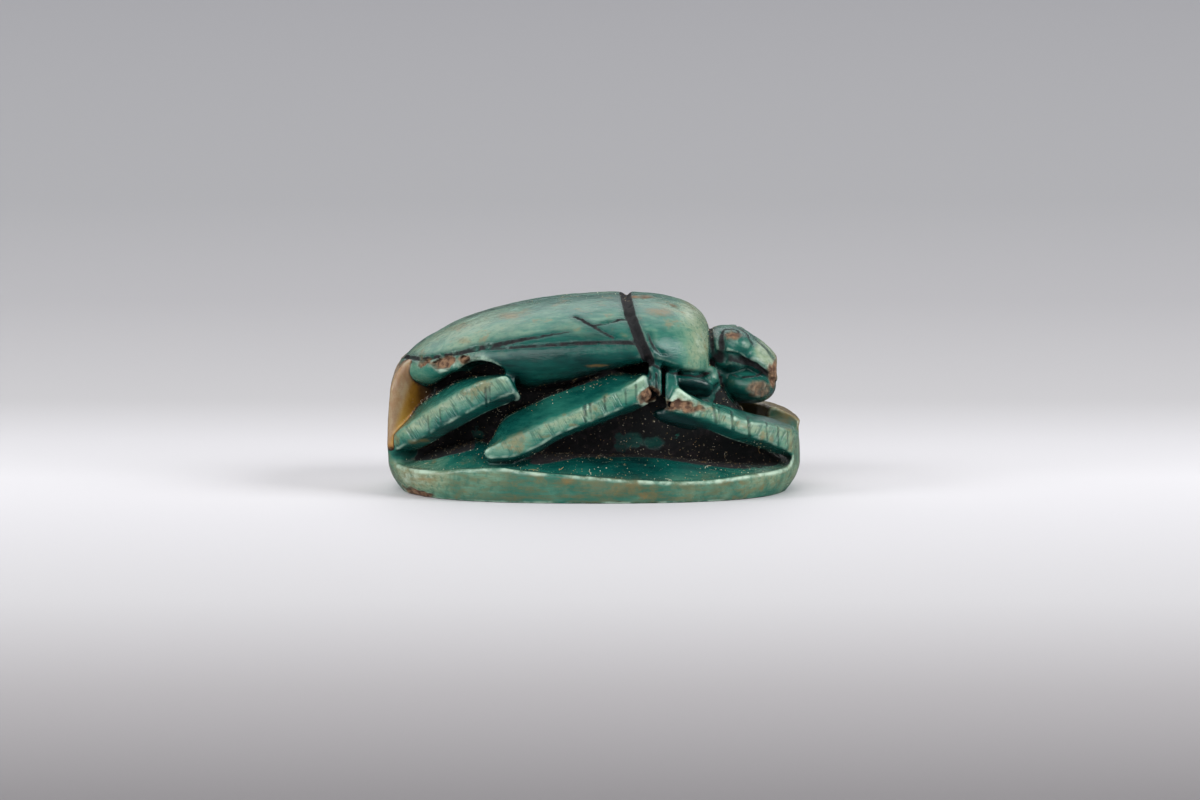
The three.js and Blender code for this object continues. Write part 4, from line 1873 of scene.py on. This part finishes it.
@dataclass(frozen=True)
class GlazedSteatite:
    """Blue-green glaze, pooled in the hollows and worn thin on the edges of brown stone, with painted
    shade in the hollows and a painted highlight on the edges.
    """

    # The glaze's colour as the glaze mark rises; that mark holds pooled glaze and painted shade.
    tones: tuple[tuple[float, Colour], ...] = (
        (0.0, colour(152, 168, 148)), (0.13, colour(128, 146, 119)), (0.3, colour(90, 130, 109)),
        (0.5, colour(34, 98, 85)), (0.72, colour(8, 66, 60)), (0.95, colour(4, 34, 34)),
    )
    # Near-black: painted shade in the nooks, and the dark inside the nicks.
    dark: Colour = colour(5, 24, 23)
    # Pale edge: glaze worn thin on sharp edges, and a painted highlight along them.
    edge: Colour = colour(184, 208, 188)
    stone: Colour = colour(138, 108, 82)
    crumb: Colour = colour(80, 56, 42)
    stain: Colour = colour(118, 100, 62)
    rust: Colour = colour(128, 98, 54)
    scorched: Colour = colour(112, 94, 52)
    # Near-black of the dirt mark: packed dirt, and painted shade deep in the recesses.
    dirt: Colour = colour(17, 15, 19)
    grime: Colour = colour(44, 37, 39)
    ambers: tuple[tuple[float, Colour], ...] = (
        (0.05, colour(14, 10, 8)), (0.35, colour(72, 44, 13)), (0.65, colour(142, 98, 30)),
        (1.0, colour(176, 138, 60)),
    )
    tail: Colour = colour(150, 132, 104)
    dust: Colour = colour(168, 154, 118)
    gloss: float = 0.19
    dullness: float = 0.85
    relief_strength: float = 0.5
    relief_depth: float = 0.0001

    def glazed(self, bench: GlazeBench) -> bpy.types.NodeSocket:
        """Colours the glaze by the glaze mark, which holds how thick it lies and painted shade, with pale
        washes, and dark blots on the wall.

        Args:
            bench: The material's bench.

        Returns:
            The colour.
        """
        thick = bench.blend_sum(bench.marks["glaze"], bench.blotch, 0.7, bench.layers, 0.45)
        tone = bench.ramp(thick, self.tones)
        washed = bench.patch(0.5, 0.5, 0.14, (0.6, 1, 1))
        washed = bench.sum("MULTIPLY", washed, bench.share(bench.thin, 0.4))
        tone = bench.mix(washed, tone, self.tones[1][1])
        upright = bench.noise(bench.stretched(bench.at, (1.0, 1.0, 0.25)), 0.9, 4.0, 0.6)
        blot = bench.sum("MULTIPLY", bench.rise(upright, 0.48, 0.66), bench.marks["wall"])
        return bench.mix(bench.share(blot, 0.6), tone, self.tones[3][1])

    def stained(self, bench: GlazeBench, tone: bpy.types.NodeSocket) -> bpy.types.NodeSocket:
        """Lays olive and rusty stains and dark freckles over the glaze.

        Args:
            bench: The material's bench.
            tone: The colour so far.

        Returns:
            The colour.
        """
        olive = bench.sum("MULTIPLY", bench.rise(bench.layers, 0.36, 0.62), bench.marks["wall"])
        tone = bench.mix(bench.share(olive, 0.45), tone, self.stain)
        spread_thin = bench.share(bench.thin, 0.55)
        tone = bench.mix(bench.sum("MULTIPLY", bench.patch(0.9, 0.55, 0.1), spread_thin), tone, self.stain)
        soaked = bench.blend_sum(bench.marks["stain"], bench.grain, 0.8, bench.blotch, 0.4)
        tone = bench.mix(bench.share(bench.rise(soaked, 0.15, 0.8), 0.6), tone, self.rust)
        freckles = bench.sum("MULTIPLY", bench.patch(4.5, 0.53, 0.08), bench.share(bench.thin, 0.4))
        return bench.mix(freckles, tone, self.tones[3][1])

    def worn(self, bench: GlazeBench, tone: bpy.types.NodeSocket) -> bpy.types.NodeSocket:
        """Darkens stripes, lines and nicks, paints shade into the hollows, pales the edges with worn-thin
        glaze and a painted highlight, and browns the far foot.

        Args:
            bench: The material's bench.
            tone: The colour so far.

        Returns:
            The colour.
        """
        marks = bench.marks
        tone = bench.mix(bench.share(bench.stripe, 0.55), tone, self.tones[4][1])
        # Painted shade: the nooks go near-black.
        tone = bench.mix(bench.share(bench.rise(marks["nook"], 0.56, 0.7), 0.6), tone, self.dark)
        # Pale edges: worn-thin glaze and a painted highlight.
        pale = bench.sum("MULTIPLY", bench.rise(marks["edge"], 0.012, 0.034), bench.patch(1.2, 0.4, 0.2))
        tone = bench.mix(bench.share(pale, 0.75), tone, self.edge)
        seared = bench.blend_sum(marks["sear"], bench.blotch, 0.5, bench.grain, 0.4)
        tone = bench.mix(bench.share(bench.rise(seared, 0.1, 0.7), 0.92), tone, self.scorched)
        tone = bench.mix(bench.share(bench.rise(marks["line"], 0.3, 0.95), 0.7), tone, self.tones[4][1])
        return bench.mix(bench.share(bench.rise(marks["nick"], 0.88, 1.0), 0.7), tone, self.dark)

    def bare(self, bench: GlazeBench) -> bpy.types.NodeSocket:
        """Tells where the stone is bare: in the chips and where an edge is rubbed through."""
        rubbed = bench.rise(bench.marks["edge"], 0.04, 0.08)
        rubbed = bench.sum("MULTIPLY", rubbed, bench.patch(0.9, 0.57, 0.05))
        return bench.sum("MAXIMUM", bench.marks["bare"], bench.share(rubbed, 0.6))

    def browned(self, bench: GlazeBench, tone: bpy.types.NodeSocket) -> bpy.types.NodeSocket:
        """Colours the tail: its inner faces like honey, its rear face like worn stone.

        Args:
            bench: The material's bench.
            tone: The colour so far.

        Returns:
            The colour.
        """
        amber, fibres = bench.marks["amber"], bench.fibres
        honey = bench.ramp(bench.blend_sum(amber, fibres, 0.25, bench.blotch, 0.2), self.ambers)
        tone = bench.mix(bench.rise(amber, 0.0, 0.08), tone, honey)
        worn_end = bench.mix(bench.rise(fibres, 0.36, 0.62), self.stone, self.tail)
        return bench.mix(bench.marks["tail"], tone, worn_end)

    def dirt_and_shade_mask(self, bench: GlazeBench) -> bpy.types.NodeSocket:
        """Tells where to paint near-black: dirt and painted shade in deep places, and dirt packed at the
        bottom of the lines.
        """
        dirt_and_shade_mask = bench.blend_sum(bench.marks["dirt_and_shade"], bench.blotch, 0.35, bench.grain, 0.3)
        dirt_and_shade_mask = bench.sum("SUBTRACT", dirt_and_shade_mask, bench.share(bench.patch(0.42, 0.58, 0.1), 0.7))
        packed = bench.rise(bench.marks["line"], 0.9, 0.99)
        return bench.sum("MAXIMUM", bench.rise(dirt_and_shade_mask, 0.4, 0.62), packed)

    def relief(self, bench: GlazeBench, bare: object, dirt_and_shade_mask: object) -> bpy.types.NodeSocket:
        """Roughens the surface finely, and more where it is bare or under the mark of dirt and painted
        shade.

        Args:
            bench: The material's bench.
            bare: Where the stone is bare.
            dirt_and_shade_mask: Where dirt is packed and where shade is painted near-black.

        Returns:
            The bumped normal.
        """
        crumbly = bench.sum("MAXIMUM", bare, bench.share(dirt_and_shade_mask, 0.5))
        crumbly = bench.sum("MULTIPLY", crumbly, bench.grain)
        height = bench.blend_sum(bench.share(bench.grain, 0.5), bench.layers, 0.5, bench.stripe, -0.6)
        bump = bench.place("ShaderNodeBump")
        bump.inputs["Strength"].default_value = self.relief_strength
        bump.inputs["Distance"].default_value = self.relief_depth
        bench.feed(bump.inputs["Height"], bench.sum("ADD", height, bench.share(crumbly, 3.0)))
        return bump.outputs["Normal"]

    def material(self) -> bpy.types.Material:
        """Builds the material.

        Returns:
            The material, which reads the stone's surface marks.
        """
        material = blank_material("glazed_steatite")
        bench = GlazeBench(material.node_tree)
        bare, dirt_and_shade_mask = self.bare(bench), self.dirt_and_shade_mask(bench)
        tone = self.worn(bench, self.stained(bench, self.glazed(bench)))
        rock = bench.mix(bench.rise(bench.grain, 0.4, 0.62), self.crumb, self.stone)
        tone = self.browned(bench, bench.mix(bare, tone, rock))
        # Near-black over the mark of dirt and painted shade: packed dirt, and painted shade in the
        # recesses.
        grimy = bench.rise(bench.grain, 0.46, 0.66)
        grimy = bench.sum("MULTIPLY", grimy, bench.rise(bench.blotch, 0.35, 0.6))
        dirt_and_shade_tone = bench.mix(grimy, self.dirt, self.grime)
        tone = bench.mix(bench.share(dirt_and_shade_mask, 0.97), tone, dirt_and_shade_tone)
        motes = bench.sum("MULTIPLY", bench.patch(7.5, 0.63, 0.03), bench.marks["dust"])
        tone = bench.mix(bench.share(motes, 0.35), tone, self.dust)

        shader = bench.place("ShaderNodeBsdfPrincipled")
        bench.feed(shader.inputs["Base Color"], tone)
        dull = bench.sum("MAXIMUM", bare, bench.sum("MAXIMUM", dirt_and_shade_mask, motes))
        rough = bench.place("ShaderNodeMapRange")
        bench.feed(rough.inputs["Value"], dull)
        rough.inputs["To Min"].default_value = self.gloss
        rough.inputs["To Max"].default_value = self.dullness
        uneven = bench.share(bench.sum("SUBTRACT", bench.grain, 0.5), 0.35)
        bench.feed(shader.inputs["Roughness"], bench.sum("ADD", rough.outputs["Result"], uneven))
        shader.inputs["IOR"].default_value = 1.5
        shader.inputs["Specular IOR Level"].default_value = 0.35
        bench.feed(shader.inputs["Normal"], self.relief(bench, bare, dirt_and_shade_mask))
        bench.show(shader)
        return material


@dataclass(frozen=True)
class Lint:
    """The pale stuff that dust specks and lint fibres are made of."""

    bright: Colour = colour(244, 236, 208)
    tawny: Colour = colour(196, 156, 96)

    def material(self) -> bpy.types.Material:
        """Builds the material.

        Returns:
            The material.
        """
        material = blank_material("lint")
        bench = Bench(material.node_tree)
        speckle = bench.noise(bench.millimetres(), 2.2, 2.0)
        shader = bench.place("ShaderNodeBsdfPrincipled")
        tone = bench.mix(bench.rise(speckle, 0.42, 0.6), self.tawny, self.bright)
        bench.feed(shader.inputs["Base Color"], tone)
        shader.inputs["Roughness"].default_value = 0.8
        bench.show(shader)
        return material


@dataclass(frozen=True)
class Dust:
    """Dust specks and lint fibres caught in the hollows, strewn over a stone's dust mark."""

    specks: float = 1.1e7
    fibres: float = 5.0e5
    speck_radius: float = 0.02
    fibre_length: float = 0.38
    fibre_radius: float = 0.0075
    bow: Point = (0.7, 0.25)
    end: Point = (-0.2, 0.1)
    smallest: Triple = (0.4, 0.4, 0.3)
    biggest: Triple = (1.5, 1.2, 0.8)
    tip: float = 0.3
    seed: int = 7

    def speck(self, bench: Bench) -> bpy.types.NodeSocket:
        """Makes one speck: a grain of 20 faces.

        Args:
            bench: The tree's bench.

        Returns:
            The speck's mesh.
        """
        grain = bench.place("GeometryNodeMeshIcoSphere")
        grain.inputs["Radius"].default_value = self.speck_radius * MM
        grain.inputs["Subdivisions"].default_value = 1
        return grain.outputs["Mesh"]

    def fibre(self, bench: Bench) -> bpy.types.NodeSocket:
        """Makes one fibre: a bowed thread of three sides.

        Args:
            bench: The tree's bench.

        Returns:
            The fibre's mesh.
        """
        bow = bench.place("GeometryNodeCurveQuadraticBezier")
        bow.inputs["Resolution"].default_value = 5
        half = self.fibre_length / 2 * MM
        bow.inputs["Start"].default_value = (-half, 0, 0)
        bow.inputs["Middle"].default_value = (0, self.bow[0] * half, self.bow[1] * half)
        bow.inputs["End"].default_value = (half, self.end[0] * half, self.end[1] * half)
        ring = bench.place("GeometryNodeCurvePrimitiveCircle")
        ring.inputs["Resolution"].default_value = 3
        ring.inputs["Radius"].default_value = self.fibre_radius * MM
        tube = bench.place("GeometryNodeCurveToMesh")
        bench.feed(tube.inputs["Curve"], bow.outputs["Curve"])
        bench.feed(tube.inputs["Profile Curve"], ring.outputs["Curve"])
        tube.inputs["Fill Caps"].default_value = True
        return tube.outputs["Mesh"]

    def tree(self, name: str, make: Shape) -> bpy.types.NodeTree:
        """Builds the tree that strews one shape over the dust mark.

        Args:
            name: The tree's name.
            make: What makes the shape, in a tree's bench.

        Returns:
            The tree, with the inputs Density, Seed and Material.
        """
        tree = bpy.data.node_groups.new(name, "GeometryNodeTree")
        face = tree.interface
        face.new_socket("Geometry", in_out="INPUT", socket_type="NodeSocketGeometry")
        face.new_socket("Density", in_out="INPUT", socket_type="NodeSocketFloat")
        face.new_socket("Seed", in_out="INPUT", socket_type="NodeSocketInt")
        face.new_socket("Material", in_out="INPUT", socket_type="NodeSocketMaterial")
        face.new_socket("Geometry", in_out="OUTPUT", socket_type="NodeSocketGeometry")
        bench = Bench(tree)
        given = bench.place("NodeGroupInput").outputs
        mark = bench.place("GeometryNodeInputNamedAttribute", data_type="FLOAT")
        mark.inputs["Name"].default_value = "dust"
        points = bench.place("GeometryNodeDistributePointsOnFaces")
        bench.feed(points.inputs["Mesh"], given["Geometry"])
        density = bench.sum("MULTIPLY", mark.outputs["Attribute"], given["Density"])
        bench.feed(points.inputs["Density"], density)
        bench.feed(points.inputs["Seed"], given["Seed"])
        scale = bench.place("FunctionNodeRandomValue", data_type="FLOAT_VECTOR")
        scale.inputs["Min"].default_value = self.smallest
        scale.inputs["Max"].default_value = self.biggest
        bench.feed(scale.inputs["Seed"], given["Seed"])
        strewn = bench.place("GeometryNodeInstanceOnPoints")
        bench.feed(strewn.inputs["Points"], points.outputs["Points"])
        bench.feed(strewn.inputs["Instance"], make(bench))
        bench.feed(strewn.inputs["Rotation"], points.outputs["Rotation"])
        bench.feed(strewn.inputs["Scale"], scale.outputs["Value"])
        turn = bench.place("FunctionNodeRandomValue", data_type="FLOAT_VECTOR")
        turn.inputs["Min"].default_value = (-self.tip, -self.tip, 0.0)
        turn.inputs["Max"].default_value = (self.tip, self.tip, 2 * math.pi)
        turned = bench.place("GeometryNodeRotateInstances")
        bench.feed(turned.inputs["Instances"], strewn.outputs["Instances"])
        bench.feed(turned.inputs["Rotation"], turn.outputs["Value"])
        real = bench.place("GeometryNodeRealizeInstances")
        bench.feed(real.inputs["Geometry"], turned.outputs["Instances"])
        dressed = bench.place("GeometryNodeSetMaterial")
        bench.feed(dressed.inputs["Geometry"], real.outputs["Geometry"])
        bench.feed(dressed.inputs["Material"], given["Material"])
        bench.feed(bench.place("NodeGroupOutput").inputs["Geometry"], dressed.outputs["Geometry"])
        return tree

    def strew(self, name: str, stone: bpy.types.Object, make: Shape, density: float,
              material: bpy.types.Material) -> bpy.types.Object:
        """Strews one shape over a stone, as a piece of its own.

        Args:
            name: The piece's name.
            stone: The stone that it lies on.
            make: What makes the shape.
            density: How many to a square metre where the dust mark is 1.
            material: Its material.

        Returns:
            The piece.
        """
        piece = add_piece(name, stone.data.copy())
        tree = self.tree(name, make)
        strewing = piece.modifiers.new("strewing", "NODES")
        strewing.node_group = tree
        inputs = {item.name: item.identifier for item in tree.interface.items_tree
                  if item.in_out == "INPUT"}
        strewing[inputs["Density"]] = density
        strewing[inputs["Seed"]] = self.seed
        strewing[inputs["Material"]] = material
        settle(piece)
        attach(piece, BODY)
        log.info("%s: %d faces", name, len(piece.data.polygons))
        return piece

    def build(self, stone: bpy.types.Object) -> None:
        """Strews specks and fibres over a stone.

        Args:
            stone: The stone, which carries the dust mark.
        """
        material = Lint().material()
        self.strew("dust_specks", stone, self.speck, self.specks, material)
        self.strew("lint_fibres", stone, self.fibre, self.fibres, material)


@dataclass(frozen=True)
class Softbox:
    """A soft square light: its place and side in metres, its power in watts."""

    name: str
    at: Triple
    side: float
    power: float


@dataclass(frozen=True)
class Studio:
    """The pale sweep, the soft lights and the camera."""

    softboxes: tuple[Softbox, ...] = (
        Softbox("front_softbox", (-0.2, -0.5, 0.3), 0.4, 2.0),
        Softbox("right_softbox", (0.46, -0.2, 0.27), 0.3, 3.2),
        Softbox("top_softbox", (-0.06, 0.32, 0.46), 0.8, 2.5),
        Softbox("left_softbox", (-0.46, -0.2, 0.26), 0.22, 1.7),
    )
    glow: Colour = (1.0, 0.99, 1.0, 1.0)
    glow_strength: float = 0.12
    flagged: float = 0.92
    target: Triple = (0.00026, 0.0, 0.00384)
    distance: float = 0.35
    elevation: float = 6.0
    lens: float = 240.0
    reach: float = 1.6
    flag: Colour = colour(40, 40, 42)
    # The sweep's tone along its depth, in metres: painted light, brightest round the amulet and falling
    # off nearer and further away.
    sweep: tuple[tuple[float, Colour], ...] = (
        (-0.12, colour(98, 96, 99)), (-0.089, colour(109, 106, 109)),
        (-0.063, colour(150, 147, 150)), (-0.038, colour(186, 185, 188)),
        (-0.011, colour(204, 203, 207)), (0.004, colour(214, 213, 217)),
        (0.019, colour(200, 199, 203)), (0.0365, colour(177, 176, 179)),
        (0.089, colour(162, 161, 165)), (0.157, colour(155, 155, 159)),
        (0.39, colour(167, 167, 172)),
    )

    def floor(self) -> None:
        """Lays the sweep, with painted light in its tone: brightest in a band round the amulet and darker
        nearer and further off; and keeps its glare off the glaze.
        """
        r = self.reach
        mesh = bpy.data.meshes.new("sweep")
        mesh.from_pydata([(-r, -r, 0), (r, -r, 0), (r, r, 0), (-r, r, 0)], [], [(0, 1, 2, 3)])
        material = blank_material("sweep_card")
        bench = Bench(material.node_tree)
        place = bench.place("ShaderNodeTexCoord").outputs["Object"]
        parts = bench.place("ShaderNodeSeparateXYZ")
        bench.feed(parts.inputs[0], place)
        low, high = self.sweep[0][0], self.sweep[-1][0]
        node = bench.place("ShaderNodeMapRange")
        bench.feed(node.inputs["Value"], parts.outputs["Y"])
        node.inputs["From Min"].default_value = low
        node.inputs["From Max"].default_value = high
        stops = [((at - low) / (high - low), tint) for at, tint in self.sweep]
        tone = bench.ramp(node.outputs["Result"], stops)
        mirrored = bench.place("ShaderNodeLightPath").outputs["Is Glossy Ray"]
        tone = bench.mix(bench.share(mirrored, self.flagged), tone, self.flag)
        shader = bench.place("ShaderNodeBsdfPrincipled")
        bench.feed(shader.inputs["Base Color"], tone)
        shader.inputs["Roughness"].default_value = 0.6
        bench.show(shader)
        mesh.materials.append(material)
        add_piece("sweep", mesh)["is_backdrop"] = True

    def light(self, softbox: Softbox) -> None:
        """Hangs one soft light that faces the amulet.

        Args:
            softbox: The light.
        """
        data = bpy.data.lights.new(softbox.name, "AREA")
        data.shape = "SQUARE"
        data.size = softbox.side
        data.energy = softbox.power
        lamp = bpy.data.objects.new(softbox.name, data)
        lamp.location = softbox.at
        towards = Vector(self.target) - Vector(softbox.at)
        lamp.rotation_euler = towards.to_track_quat("-Z", "Y").to_euler()
        bpy.context.scene.collection.objects.link(lamp)

    def set_up(self) -> None:
        """Builds the sweep, the lights, the surrounding glow and the camera."""
        self.floor()
        for softbox in self.softboxes:
            self.light(softbox)
        world = bpy.data.worlds.new("glow")
        world.use_nodes = True
        background = world.node_tree.nodes["Background"]
        background.inputs["Color"].default_value = self.glow
        background.inputs["Strength"].default_value = self.glow_strength
        bpy.context.scene.world = world
        bpy.context.scene.view_settings.view_transform = "Standard"
        data = bpy.data.cameras.new("camera")
        data.lens = self.lens
        data.clip_start = 0.01
        data.clip_end = 10.0
        camera = bpy.data.objects.new("camera", data)
        tilt = math.radians(self.elevation)
        camera.location = Vector(self.target) + self.distance * Vector(
            (0, -math.cos(tilt), math.sin(tilt))
        )
        camera.rotation_euler = (math.pi / 2 - tilt, 0, 0)
        bpy.context.scene.collection.objects.link(camera)
        bpy.context.scene.camera = camera


def main() -> None:
    """Builds the amulet and its surroundings."""
    size = Size.of_box(*PACKED_BOX)
    Studio().set_up()
    spacing = FINE_SPACING
    stone = Scarab(size).build(spacing, GlazedSteatite())
    Dust().build(stone)


if __name__ == "__main__":
    main()
